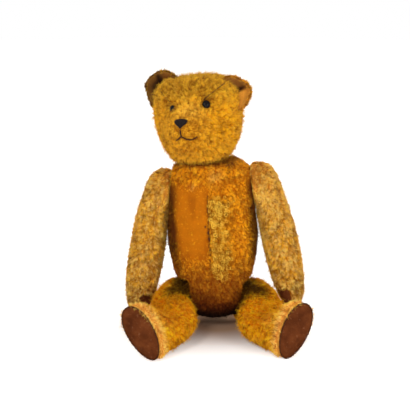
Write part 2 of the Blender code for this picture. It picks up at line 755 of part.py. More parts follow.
TORSO = STANCE @ Matrix.Translation(TORSO_FOOT) @ Matrix.Rotation(-TORSO_LEAN, 4, "Y")
HEAD_TOP = Matrix.Rotation(-HEAD_TILT, 4, "Y") @ Matrix.Rotation(HEAD_TURN, 4, "Z")
HEAD = TORSO @ Matrix.Translation(NECK) @ HEAD_TOP
ARM_FRAMES = {name: arm_frame(arm) for name, arm in SHOULDERS.items()}
LEG_FRAMES = {name: leg_frame(leg) for name, leg in HIPS.items()}

HARDWARE = {"disc_near": SEAT_GAP + COVER_WALL + GAP}
HARDWARE["disc_far"] = HARDWARE["disc_near"] + DISC_WALL
HARDWARE["washer_near"] = HARDWARE["disc_far"] + SEAT_GAP
HARDWARE["washer_far"] = HARDWARE["washer_near"] + WASHER_WALL
HARDWARE["pin_eye"] = HARDWARE["washer_far"] + SEAT_GAP + PIN_WIRE
HARDWARE["pocket_end"] = HARDWARE["pin_eye"] + 2 * EYE_OF_PIN + 2 * PIN_WIRE

JOINTS = {"neck": joint_on("head", HEAD, (0, 0, 1), NECK_DISC_RADIUS)}
PIVOTS = {"head": add_pivot("head", HEAD)}
for side_name in SHOULDERS:
    outward = (SHOULDERS[side_name]["side"], 0, 0)
    for joint_name, body_name, frames in (("shoulder", "arm", ARM_FRAMES), ("hip", "leg", LEG_FRAMES)):
        body_name = f"{body_name}_{side_name}"
        frame = frames[side_name]
        JOINTS[f"{joint_name}_{side_name}"] = joint_on(body_name, frame, outward, DISC_RADIUS)
        PIVOTS[body_name] = add_pivot(body_name, frame)
for joint_name, joint in JOINTS.items():
    add_joint_cutters(joint_name, joint)
FACE = BVHTree.FromBMesh(ball_form(head_local, *HEAD_GRID))

make_torso()
make_head()
make_ears()
make_eyes()
make_nose()
make_mouth()
for side_name in SHOULDERS:
    make_arm(side_name)
    make_leg(side_name)
for joint_name, joint in JOINTS.items():
    disc_joint(joint_name, joint)
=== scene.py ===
"""A seated, jointed teddy bear in worn mohair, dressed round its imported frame.

Every new piece is a surface worked out on a grid of two parameters, or a profile carried along a
path. The pile is blades of cloth hair, rooted on those surfaces. Metres, +Z up, the bear faces -Y.
"""

import math

import bpy
import numpy as np
from mathutils import Matrix, Vector


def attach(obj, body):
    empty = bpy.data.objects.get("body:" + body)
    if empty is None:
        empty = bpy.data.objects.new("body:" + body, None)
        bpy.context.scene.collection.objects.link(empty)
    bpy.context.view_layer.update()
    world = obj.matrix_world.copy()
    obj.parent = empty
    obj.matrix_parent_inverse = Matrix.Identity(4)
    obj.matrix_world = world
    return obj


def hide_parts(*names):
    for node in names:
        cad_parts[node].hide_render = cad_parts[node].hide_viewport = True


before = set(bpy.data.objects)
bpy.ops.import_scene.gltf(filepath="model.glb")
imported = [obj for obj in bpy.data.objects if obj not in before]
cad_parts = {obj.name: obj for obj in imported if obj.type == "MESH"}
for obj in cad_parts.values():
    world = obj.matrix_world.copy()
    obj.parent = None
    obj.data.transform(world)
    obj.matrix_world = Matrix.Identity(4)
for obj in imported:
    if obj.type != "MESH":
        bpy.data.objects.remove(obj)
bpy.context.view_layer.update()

bl_info = {
    "name": "Threadbare Teddy Bear",
    "version": (1, 0, 0),
    "blender": (4, 5, 0),
    "location": "3D View > Sidebar > Teddy Bear",
    "description": "Mohair skins, pile, felt pads, stitched face and a studio for a jointed bear",
    "category": "Object",
}

TAU = 2 * math.pi

# Where the bear sits, and how far its skins and its hairs and felt stay off the floor
STANCE = Matrix.Translation((-0.0021, 0.0434, 0.0))
SKIN_FLOOR = 0.0004
PILE_FLOOR = 0.0003

# Torso: height, half width, depth in front, depth behind
TORSO_STATIONS = (
    (0.0080, 0.0000, 0.000, 0.000),
    (0.0088, 0.0120, 0.012, 0.012),
    (0.0140, 0.0235, 0.024, 0.023),
    (0.0240, 0.0305, 0.033, 0.031),
    (0.0400, 0.0362, 0.039, 0.036),
    (0.0600, 0.0432, 0.042, 0.038),
    (0.0900, 0.0488, 0.043, 0.039),
    (0.1200, 0.0495, 0.041, 0.041),
    (0.1450, 0.0480, 0.037, 0.042),
    (0.1600, 0.0460, 0.033, 0.040),
    (0.1700, 0.0420, 0.031, 0.036),
    (0.1780, 0.0370, 0.029, 0.032),
    (0.1820, 0.0300, 0.025, 0.027),
    (0.1832, 0.0000, 0.000, 0.000),
)
TORSO_SQUARENESS = 2.25
TORSO = STANCE @ Matrix.Translation((0.0013, 0, 0)) @ Matrix.Rotation(math.radians(-3.2), 4, "Y")

# Head: height above the neck, half width, depth in front, depth behind, reach of the snout
HEAD_STATIONS = (
    (0.0004, 0.0000, 0.000, 0.000, 0.000),
    (0.0005, 0.0220, 0.022, 0.022, 0.000),
    (0.0025, 0.0300, 0.030, 0.030, 0.000),
    (0.0095, 0.0355, 0.035, 0.035, 0.002),
    (0.0205, 0.0412, 0.038, 0.039, 0.012),
    (0.0315, 0.0450, 0.039, 0.041, 0.021),
    (0.0395, 0.0468, 0.039, 0.042, 0.024),
    (0.0485, 0.0475, 0.038, 0.042, 0.023),
    (0.0600, 0.0472, 0.037, 0.042, 0.012),
    (0.0730, 0.0445, 0.034, 0.039, 0.001),
    (0.0815, 0.0390, 0.030, 0.034, 0.000),
    (0.0868, 0.0310, 0.025, 0.028, 0.000),
    (0.0893, 0.0200, 0.016, 0.018, 0.000),
    (0.0900, 0.0000, 0.000, 0.000, 0.000),
)
HEAD_SQUARENESS = 2.2
SNOUT_SPREAD = math.radians(27)
HEAD_TOP = Matrix.Rotation(math.radians(-2.4), 4, "Y") @ Matrix.Rotation(math.radians(-13.0), 4, "Z")
HEAD = TORSO @ Matrix.Translation((-0.0062, 0.002, 0.1824)) @ HEAD_TOP

# Arms: distance down from the joint, inner face, outer face, half depth, forward swing
ARM_STATIONS = (
    (-0.0240, 0.0080, 0.0080, 0.0000, 0.000),
    (-0.0225, 0.0030, 0.0150, 0.0080, 0.000),
    (-0.0160, 0.0006, 0.0230, 0.0155, 0.000),
    (-0.0050, 0.0003, 0.0277, 0.0200, 0.000),
    (0.0120, 0.0003, 0.0322, 0.0218, 0.000),
    (0.0340, 0.0006, 0.0370, 0.0220, 0.000),
    (0.0600, 0.0015, 0.0408, 0.0215, 0.000),
    (0.0850, 0.0042, 0.0430, 0.0205, 0.0000),
    (0.1050, 0.0072, 0.0432, 0.0190, -0.0005),
    (0.1200, 0.0098, 0.0418, 0.0176, -0.0015),
    (0.1310, 0.0134, 0.0392, 0.0150, -0.0025),
    (0.1385, 0.0185, 0.0340, 0.0095, -0.0030),
    (0.1405, 0.0262, 0.0262, 0.0000, -0.0035),
)
ARM_SQUARENESS = 2.2
SHOULDERS = {
    "left": {"side": 1, "centre": (0.0386, 0.002, 0.1555), "tilt": math.radians(7.7)},
    "right": {"side": -1, "centre": (-0.0495, 0.002, 0.1468), "tilt": math.radians(4.2)},
}
PAW_PAD = {
    "top": 0.1130,
    "half_width": 0.0112,
    "half_height": 0.0098,
    "facing": math.radians(54),
    "middle": (0.0285, -0.0015),
    "raised": 0.0014,
    "tucked": 0.0004,
    "sunk": 0.0010,
}
PAD_SQUARENESS = 3.4

# Legs: distance forward from the joint, inner face, outer face, middle height, half height, toe lean
LEG_STATIONS = (
    (-0.0262, 0.0190, 0.0190, 0.0000, 0.0000, 0.0),
    (-0.0242, 0.0090, 0.0290, 0.0000, 0.0100, 0.0),
    (-0.0172, 0.0020, 0.0370, 0.0000, 0.0188, 0.0),
    (-0.0050, 0.0004, 0.0400, 0.0000, 0.0248, 0.0),
    (0.0140, 0.0003, 0.0410, 0.0000, 0.0258, 0.0),
    (0.0300, -0.0010, 0.0412, -0.0004, 0.0254, 2.0),
    (0.0450, -0.0110, 0.0405, -0.0018, 0.0240, 4.0),
    (0.0600, -0.0150, 0.0402, -0.0048, 0.0210, 6.0),
    (0.0760, -0.0140, 0.0385, -0.0082, 0.0176, 9.0),
    (0.0920, -0.0090, 0.0385, -0.0072, 0.0184, 12.0),
    (0.1050, -0.0020, 0.0425, 0.0006, 0.0254, 14.0),
    (0.1135, 0.0030, 0.0452, 0.0046, 0.0314, 15.5),
    (0.1188, 0.0050, 0.0445, 0.0052, 0.0322, 15.5),
    (0.1204, 0.0068, 0.0430, 0.0052, 0.0308, 15.5),
    (0.1207, 0.0250, 0.0250, 0.0052, 0.0000, 15.5),
)
LEG_SQUARENESS = 2.25
HEEL_TAPER = 0.10
HIPS = {
    "left": {
        "side": 1,
        "centre": (0.0215, -0.004, 0.0255),
        "splay": math.radians(19.5),
        "roll": math.radians(3.0),
        "length": 1.0,
        "lean": 1.20,
    },
    "right": {
        "side": -1,
        "centre": (-0.0220, -0.006, 0.0270),
        "splay": math.radians(8.0),
        "roll": math.radians(6.0),
        "length": 1.06,
        "lean": 1.45,
    },
}
HIP_CLEAR = {"height": 0.0238, "rise": 0.20, "slope": 5.0}
SOLE_PAD = (0.0152, 0.0292)
SOLE_SPARE = 0.0006
SOLE_BACK = -0.0022
SOLE_CENTRE = (0.0262, 0.0052)
SOLE_LEAN = math.radians(15.5)
SOLE_THREAD = {"out": 0.0005, "lift": 0.0002, "radius": 0.0005}
TOE = 0.1207

# Joints: the gap left at each, where a limb's flat face ends, and where pile is pressed down
SEAT_GAP = 0.0003
SEAT_FADE = (0.0185, 0.0260)
HIP_SEAT = 0.0300
SEAT_DEPTH = 0.0060
PRESSED = {"reach": (0.031, 0.020), "depth": (0.011, 0.004)}

# Ears and face, in the head's frame. An eye has its place across and up, and how far it is sunk
EARS = {
    "left": {"side": 1, "radius": 0.0175, "centre": (0.0405, 0.004, 0.0690), "curl": 0.0050},
    "right": {"side": -1, "radius": 0.0210, "centre": (-0.0330, 0.004, 0.0760), "curl": 0.0010},
}
EAR_CUP = 0.0100
EAR_CREASE = 0.0045
EAR_LINING = (0.0012, 0.0001)
EAR_BACK = (-0.0001, -0.0020)
EAR_YAW = math.radians(8.0)
# Each ear's lining: its velvet brown, bruised streaks, and a gold that is painted light where the cup turns
# up; the right ear's darker browns are painted shade under its hooded rim
LINING = {
    "left": {"brown": (134, 86, 38), "bruise": (96, 58, 24), "gold": (226, 154, 54)},
    "right": {"brown": (80, 48, 22), "bruise": (48, 26, 12), "gold": (124, 72, 24)},
}
LINING_RIM = (172, 116, 48)
# The crease colour is painted shade in the cup's deepest fold
LINING_CREASE = (30, 13, 6)
EYES = {"left": (0.0206, 0.0630), "right": (-0.0148, 0.0620)}
EYE_SUNK = {"left": 0.0005, "right": 0.0027}
EYE = {"radius": 0.0043, "dome": 0.0026, "back": 0.0014, "gap": 0.0004}
NOSE = {
    "at": 0.0480,
    "width": 0.0190,
    "height": 0.0112,
    "dome": 0.0020,
    "back": 0.0014,
    "lift": 0.0010,
    "taper": 0.62,
    "stitches": 9,
}
MOUTH = {"at": 0.0365, "thread": 0.00062, "start": 0.0058, "reach": 0.0130, "drop": 0.0045, "lift": 0.0015}

# Sewing thread that shows: its radius, the heights it runs between, and how far off the cloth it
# lies. Tears beside the front seam: their width over their height, and how they stand on the cloth
FRONT_SEAM = {"thread": 0.00028, "from": 0.072, "to": 0.150, "lift": 0.0010}
BROW_SEAM = {"thread": 0.00036, "from": 0.0672, "to": 0.0795, "lift": {1: 0.0029, -1: 0.0016}}
LOOSE_THREAD = {"thread": 0.00028, "length": (0.004, 0.007), "height": 0.1765}
TEAR = {"width": 0.62, "dome": 0.0004, "back": 0.0008, "taper": 0.8, "lift": 0.0018}
LOOSE_ENDS = ((0.0265, -0.021), (0.0290, -0.016), (0.0245, -0.024), (-0.017, -0.028))

# Skins and pile: each form's grid and how firmly it is filled, how many hairs and curls stand on
# it, each hair's parts as shares of its length and width, and how the shades spread
SKIN_GRIDS = {"torso": (132, 144), "head": (132, 144), "arm": (120, 96), "leg": (128, 112)}
LUMP_SIZE = 0.030
PILE_LENGTH = 0.0036
PILE_COUNTS = {"torso": 60000, "head": 58000, "arm": 52000, "leg": 52000, "ear": 14000}
CURL_COUNTS = {"torso": 1000, "head": 3400, "arm": 1500, "leg": 1200}
CURL_STEPS = 8
HAIR = {"lower": 0.55, "upper": 0.45, "bend": 0.35, "waist": 0.85, "sunk": 0.0004, "pressed": 0.65}
STRAYS = {"share": 0.10, "length": 1.25, "rise": 1.35, "width": 0.55}
TUFT_SHADE = (0.56, 1.48)
TIP_GAIN = np.array([1.29, 1.55, 1.40])
# Roots darker and redder than the tips: painted shade and painted bounced light deep in the pile
ROOT_GAIN = np.array([1.02, 0.64, 0.36])

# Studio: each lamp's place, size and power, and the floor's glow, which starts outside the shadow
AIM = (-0.0146, 0.0424, 0.132)
LAMP_AIM = (0, 0, 0.12)
LAMPS = (
    ("key_lamp", (-0.50, -1.3, 1.20), 0.48, 9.5),
    ("fill_lamp", (1.0, -1.0, 0.7), 0.42, 6.0),
    ("low_lamp", (0.1, -1.5, 0.22), 0.8, 6.2),
    ("back_lamp", (0.2, 1.1, 1.2), 1.0, 6.0),
)
SURROUND = 0.61
UNDER_TORSO = (0, -0.045, 0)
FLOOR_RINGS, FLOOR_SIDES, FLOOR_RADII = 40, 64, (0.02, 4.0)
# Floor colours near the bear: painted shadow under the torso and painted warm light bounced off it, fading to
# the plain pale floor
FLOOR_SHADES = ((0.032, (0.50, 0.31, 0.20)), (0.085, (0.88, 0.87, 0.86)))
FLOOR_GLOW = {"From Min": 0.036, "From Max": 0.165, "To Min": 0.0, "To Max": 0.75}

# Filled in as the bear is made: its materials, its dressed face, and the scene's sizes for cloth
FINISH, SHARED = {}, {}
SETTINGS = None


# ---------------------------------------------------------------- numbers


def linear(colour):
    """A colour written 0 to 255 as the eye sees it, turned into light: the usual display curve undone."""
    c = np.asarray(colour, float) / 255
    return np.where(c <= 0.04045, c / 12.92, ((c + 0.055) / 1.055) ** 2.4)


def ramp(low, high, x):
    """0 below low, 1 above high, and 3t^2 - 2t^3 in between. It falls where high is under low."""
    t = np.clip((x - low) / (high - low), 0, 1)
    return t * t * (3 - 2 * t)


def spot(local, centre, spread):
    """A soft round or oval patch: e to the minus of the squared distance, each way over its own spread."""
    return np.exp(-(((local - np.array(centre)) / np.array(spread)) ** 2).sum(-1))


def mix(a, b, share):
    """a where share is 0, b where it is 1, and a straight mix in between."""
    share = np.asarray(share)[..., None]
    return a * (1 - share) + b * share


def dyed(base, colour, share):
    """A base in light, turned by a share towards a colour written 0 to 255."""
    return mix(base, linear(colour), share)


def toned(shade):
    """A gain for each of red, green and blue that turns redder as it darkens and yellower as it lightens."""
    return np.asarray(shade)[:, None] ** np.array([0.75, 1.12, 1.25])


def scatter(cell, seed):
    """A number from 0 to 1 for each whole-numbered lattice point: the fraction of a scaled sine."""
    phase = cell @ np.array([127.1, 311.7, 74.7]) + 17.13 * seed
    return np.modf(np.abs(np.sin(phase)) * 43758.5453)[0]


def cloud(points, size, seed):
    """Soft noise from 0 to 1: scattered numbers at the corners of cubes, blended inside them."""
    at = points / size
    low = np.floor(at)
    t = at - low
    t = t * t * (3 - 2 * t)
    total = 0
    for corner in np.ndindex(2, 2, 2):
        weight = np.prod(np.where(np.array(corner) == 1, t, 1 - t), axis=-1)
        total = total + weight * scatter(low + corner, seed)
    return total


def clouds(points, size, seed):
    """Two layers of soft noise, the second at half the size and half the strength."""
    return (2 * cloud(points, size, seed) + cloud(points, size / 2, seed + 7)) / 3


def waver(points, size, seed, reach):
    """Soft noise either way from nothing: a patch's ragged edge, or a lumpy skin."""
    return (clouds(points, size, seed) - 0.5) * reach


def tufts(points, size, seed):
    """The nearest of a jittered lattice's points to each point, and that point's own number."""
    at = points / size
    low = np.floor(at)
    best = np.full(len(points), 1e9)
    centre, number = np.zeros_like(points), np.zeros(len(points))
    for corner in np.ndindex(3, 3, 3):
        cell = low + corner - 1
        place = cell + np.stack([scatter(cell, seed + k) for k in range(3)], -1)
        far = ((place - at) ** 2).sum(-1)
        near = far < best
        best = np.where(near, far, best)
        centre = np.where(near[:, None], place, centre)
        number = np.where(near, scatter(cell, seed + 3), number)
    return centre * size, number


def unit(v):
    """Each vector over its own length."""
    return v / np.maximum(np.linalg.norm(v, axis=-1, keepdims=True), 1e-12)


def moved(matrix, points):
    """Points carried by a placement."""
    m = np.array(matrix)
    return points @ m[:3, :3].T + m[:3, 3]


def turned(matrix, vectors):
    """Directions carried by a placement."""
    return vectors @ np.array(matrix)[:3, :3].T


def inside(matrix, points):
    """World points in a placement's own frame."""
    return moved(matrix.inverted(), points)


def standing(direction, origin):
    """A placement at an origin whose Z is the direction and whose Y is as near up as it can be."""
    z = unit(direction)
    y = unit(np.array([0, 0, 1.0]) - z * z[2])
    m = np.eye(4)
    m[:3] = np.stack([np.cross(y, z), y, z, origin], 1)
    return Matrix(m.tolist())


# ---------------------------------------------------------------- forms


def profile(stations, share):
    """The station values at each share of the way round the form's outline: a cubic between two
    stations, whose slope at each is the one between its neighbours."""
    table = np.array(stations, float)
    outline = np.linalg.norm(np.diff(table[:, :3], axis=0), axis=1)
    at = np.concatenate([[0.0], np.cumsum(outline)]) / outline.sum()
    i = np.clip(np.searchsorted(at, share) - 1, 0, len(at) - 2)
    before, after = np.maximum(i - 1, 0), np.minimum(i + 2, len(at) - 1)
    step = (at[i + 1] - at[i])[:, None]
    t = (share - at[i])[:, None] / step
    slope_0 = (table[i + 1] - table[before]) / (at[i + 1] - at[before])[:, None] * step
    slope_1 = (table[after] - table[i]) / (at[after] - at[i])[:, None] * step
    return (
        (2 * t**3 - 3 * t**2 + 1) * table[i]
        + (t**3 - 2 * t**2 + t) * slope_0
        + (3 * t**2 - 2 * t**3) * table[i + 1]
        + (t**3 - t**2) * slope_1
    ).T


def rounded(angle, power):
    """Cosine and sine raised to 2 / power with their signs kept: squarer than a circle over 2."""
    c, s = np.cos(angle), np.sin(angle)
    return np.sign(c) * np.abs(c) ** (2 / power), np.sign(s) * np.abs(s) ** (2 / power)


def torso_form(share, angle):
    """An oval whose half width and depth follow the height, pressed flat behind each joint's plane."""
    height, half, front, back = profile(TORSO_STATIONS, share)
    c, s = rounded(angle, TORSO_SQUARENESS)
    points = moved(TORSO, np.stack([half * c, np.where(s > 0, back, front) * s, height], -1))
    for joint in JOINTS.values():
        offset = points - joint["centre"]
        above = offset @ joint["up"] - HIP_CLEAR["height"]
        above = above - HIP_CLEAR["rise"] * np.maximum(0, offset @ joint["ahead"])
        free = np.maximum(0, above) * HIP_CLEAR["slope"] * joint["hip"]
        behind = offset @ joint["axis"]
        reach = np.linalg.norm(offset - behind[:, None] * joint["axis"], axis=-1)
        over = behind + SEAT_GAP - free
        near = (over < 0) & (reach < SEAT_FADE[1]) & (behind > -SEAT_DEPTH)
        pull = np.where(near, over * (1 - ramp(*SEAT_FADE, reach)), np.maximum(over, 0))
        points = points - pull[:, None] * joint["axis"]
    return points


def head_form(share, angle):
    """An oval skull, and a snout that adds reach by e to the minus of the squared bearing."""
    height, half, front, back, snout = profile(HEAD_STATIONS, share)
    c, s = rounded(angle, HEAD_SQUARENESS)
    x, y = half * c, np.where(s > 0, back, front) * s
    bearing = np.arctan2(x, -y)
    reach = np.hypot(x, y) + snout * np.exp(-((bearing / SNOUT_SPREAD) ** 2))
    place = np.stack([reach * np.sin(bearing), -reach * np.cos(bearing), np.maximum(height, SEAT_GAP)], -1)
    return moved(HEAD, place)


def seated(out, reach, facing):
    """A limb's inner side pressed flat round its joint, and let go between the two fade radii."""
    pressed = SEAT_GAP + (out - SEAT_GAP) * ramp(*SEAT_FADE, reach)
    return np.where((facing > 0) | (reach > SEAT_FADE[1]), out, pressed)


def arm_form(name):
    """An oval between an inner and an outer face, which swings forward towards the paw."""
    arm = SHOULDERS[name]

    def place(share, angle):
        down, inner, outer, half_depth, swing = profile(ARM_STATIONS, share)
        c, s = rounded(angle, ARM_SQUARENESS)
        out = np.maximum((inner + outer) / 2 + (outer - inner) / 2 * c, SEAT_GAP)
        deep = swing + half_depth * s
        out = seated(out, np.hypot(down, deep), c)
        return moved(ARM_FRAMES[name], np.stack([out * arm["side"], deep, -down], -1))

    return place


def leg_form(name):
    """An oval across the leg that leans out towards the toe, narrows at the heel and rests on the floor."""
    leg = HIPS[name]

    def place(share, angle):
        ahead, inner, outer, lift, half_height, lean = profile(LEG_STATIONS, share)
        c, s = rounded(angle, LEG_SQUARENESS)
        breadth = 1 + HEEL_TAPER * (s - 1) * np.maximum(0, ahead / TOE) ** 3
        x, z = (outer - inner) / 2 * c * breadth, half_height * s
        turn = -np.radians(lean) * leg["lean"]
        x, z = x * np.cos(turn) - z * np.sin(turn), x * np.sin(turn) + z * np.cos(turn)
        out = (inner + outer) / 2 + x
        reach = np.hypot(ahead, lift + z)
        out = seated(np.where(reach < HIP_SEAT, np.maximum(out, SEAT_GAP), out), reach, c)
        local = np.stack([out * leg["side"], -ahead * leg["length"], lift + z], -1)
        points = moved(LEG_FRAMES[name], local)
        points[:, 2] = np.maximum(points[:, 2], 0)
        return points

    return place


def arm_frame(arm):
    """An arm's placement: X out along its joint's axis, -Z down the arm."""
    tilt = Matrix.Rotation(-arm["tilt"] * arm["side"], 4, "Y")
    return STANCE @ Matrix.Translation(arm["centre"]) @ tilt


def leg_frame(leg):
    """A leg's placement: X out along its joint's axis, -Y down the leg."""
    turn = Matrix.Rotation(leg["splay"] * leg["side"], 4, "Z")
    roll = Matrix.Rotation(leg["roll"] * leg["side"], 4, "Y")
    return STANCE @ Matrix.Translation(leg["centre"]) @ turn @ roll


def joint_on(placement, outward, hip=0):
    """A joint's centre and its axis, up and ahead directions in the world."""
    m = np.array(placement)[:3]
    turn = m[:, :3]
    axis = turn @ np.array(outward, float)
    return {"centre": m[:, 3], "axis": axis, "up": turn[:, 2], "ahead": -turn[:, 1], "hip": hip}


ARM_FRAMES = {name: arm_frame(arm) for name, arm in SHOULDERS.items()}
LEG_FRAMES = {name: leg_frame(leg) for name, leg in HIPS.items()}
JOINTS = {"head": joint_on(HEAD, (0, 0, 1))}
for _name, _arm in SHOULDERS.items():
    JOINTS["arm_" + _name] = joint_on(ARM_FRAMES[_name], (_arm["side"], 0, 0))
    JOINTS["leg_" + _name] = joint_on(LEG_FRAMES[_name], (_arm["side"], 0, 0), hip=1)
BODY_FRAMES = {"torso": TORSO, "head": HEAD}
BODY_FRAMES.update({"arm_" + name: placement for name, placement in ARM_FRAMES.items()})
BODY_FRAMES.update({"leg_" + name: placement for name, placement in LEG_FRAMES.items()})


def closed_grid(place, rings, segments):
    """A form on a grid of share by angle: its points and outward normals, each row closed on itself.
    A normal is the cross product of the differences along the two ways."""
    share, angle = np.linspace(0, 1, rings + 1), np.linspace(-math.pi, math.pi, segments + 1)
    s, a = np.meshgrid(share, angle, indexing="ij")
    points = place(s.ravel(), a.ravel()).reshape(*s.shape, 3)
    points[:, -1] = points[:, 0]
    return points, grid_normals(points)


def grid_normals(points):
    """Outward unit normals of a closed grid, with each pole's from the row next to it."""
    along = np.gradient(points, axis=0)
    ring = points[:, :-1]
    across = np.roll(ring, -1, axis=1) - np.roll(ring, 1, axis=1)
    across = np.concatenate([across, across[:, :1]], axis=1)
    normals = unit(np.cross(across, along))
    for pole, beside in ((0, 1), (-1, -2)):
        normals[pole] = unit(normals[beside].mean(0))
    centre = points.mean((0, 1))
    if ((points - centre) * normals).sum() < 0:
        normals = -normals
    return normals


def eased(points, times):
    """A closed grid smoothed: each point becomes half itself and half the mean of its four neighbours."""
    for _ in range(times):
        ring = points[:, :-1]
        near = np.roll(ring, 1, 1) + np.roll(ring, -1, 1)
        near[1:-1] += ring[2:] + ring[:-2]
        near[1:-1] /= 4
        ring = ring.copy()
        ring[1:-1] = (ring[1:-1] + near[1:-1]) / 2
        points = np.concatenate([ring, ring[:, :1]], axis=1)
    return points


# ---------------------------------------------------------------- meshes


def new_object(name, verts, faces, material, body, tint=None):
    """A smooth mesh piece in world space, which rides on a body. faces is a list of index arrays, and
    tint a colour in light for each vertex."""
    mesh = bpy.data.meshes.new(name)
    loops = np.concatenate([f.ravel() for f in faces]).astype(np.int32)
    sizes = np.concatenate([np.full(len(f), f.shape[1]) for f in faces])
    starts = np.concatenate([[0], np.cumsum(sizes)[:-1]]).astype(np.int32)
    mesh.vertices.add(len(verts))
    mesh.vertices.foreach_set("co", verts.astype(np.float32).ravel())
    mesh.loops.add(len(loops))
    mesh.loops.foreach_set("vertex_index", loops)
    mesh.polygons.add(len(sizes))
    mesh.polygons.foreach_set("loop_start", starts)
    mesh.polygons.foreach_set("use_smooth", np.full(len(sizes), True))
    mesh.update(calc_edges=True)
    if tint is not None:
        colour = np.ones((len(verts), 4), np.float32)
        colour[:, :3] = tint
        mesh.attributes.new("tint", "FLOAT_COLOR", "POINT").data.foreach_set("color", colour.ravel())
    mesh.materials.append(material)
    obj = bpy.data.objects.new(name, mesh)
    bpy.context.scene.collection.objects.link(obj)
    if body:
        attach(obj, body)
    return obj


def grid_faces(rows, columns):
    """Quads of a grid of points whose rows close on themselves."""
    r = np.arange(rows - 1)[:, None]
    c = np.arange(columns)[None, :]
    n = (c + 1) % columns
    corners = [r * columns + c, r * columns + n, (r + 1) * columns + n, (r + 1) * columns + c]
    return np.stack(corners, -1).reshape(-1, 4)


def flat(grid):
    """A closed grid's values as a list, without the repeated column, and with each pole once."""
    return np.concatenate([grid[:1, 0], grid[1:-1, :-1].reshape(-1, grid.shape[-1]), grid[-1:, 0]])


def closed_mesh(points):
    """Vertices and faces of a closed grid: quads between its rows, and a fan at each pole."""
    rows, columns = points.shape[0] - 2, points.shape[1] - 1
    quads = grid_faces(rows, columns) + 1
    c = np.arange(columns)
    n = (c + 1) % columns
    last = 1 + rows * columns
    low = np.stack([np.zeros_like(c), n + 1, c + 1], -1)
    high = np.stack([np.full_like(c, last), last - columns + c, last - columns + n], -1)
    fans = np.concatenate([low, high])
    return outward(flat(points), [quads, fans])


def lens_grid(rows, columns):
    """Out along a lens's front and in along its back: reach from 0 to 1, 1 on the front and 0 on
    the back, and the bearing round it."""
    out = np.linspace(0, 1, rows)
    reach = np.concatenate([out, out[::-1]])[:, None]
    front = np.repeat([1.0, 0.0], rows)[:, None]
    return reach, front, np.linspace(-math.pi, math.pi, columns + 1)[None, :]


def outward(verts, faces):
    """The faces turned so that the signed volume of the solid they close is positive."""
    volume = 0.0
    for f in faces:
        a = verts[f[:, 0]]
        for k in range(1, f.shape[1] - 1):
            volume += (a * np.cross(verts[f[:, k]], verts[f[:, k + 1]])).sum()
    return verts, [f if volume > 0 else f[:, ::-1] for f in faces]


def tube(path, radius, sides=8):
    """A round tube: a circle carried along a path, square to it, with its radius given point by point."""
    path = np.asarray(path, float)
    along = unit(np.gradient(path, axis=0))
    helper = np.where(np.abs(along[:, 2:3]) < 0.9, np.array([[0, 0, 1.0]]), np.array([[1.0, 0, 0]]))
    side = unit(np.cross(along, helper))
    up = np.cross(side, along)
    a = np.linspace(0, TAU, sides, endpoint=False)
    radius = np.broadcast_to(radius, len(path))
    ring = side[:, None] * np.cos(a)[None, :, None] + up[:, None] * np.sin(a)[None, :, None]
    rows = path[:, None] + ring * radius[:, None, None]
    caps = [np.repeat(end[None, None], sides, 1) for end in (path[0], path[-1])]
    points = np.concatenate([caps[0], rows, caps[1]])
    points = np.concatenate([points, points[:, :1]], axis=1)
    return closed_mesh(points)


def joined(parts):
    """Several meshes as one: vertices in a row, and faces counted on."""
    verts, quads, fans, start = [], [], [], 0
    for v, faces in parts:
        verts.append(v)
        for f in faces:
            (quads if f.shape[1] == 4 else fans).append(f + start)
        start += len(v)
    return np.concatenate(verts), [np.concatenate(group) for group in (quads, fans) if group]


# ---------------------------------------------------------------- finishes


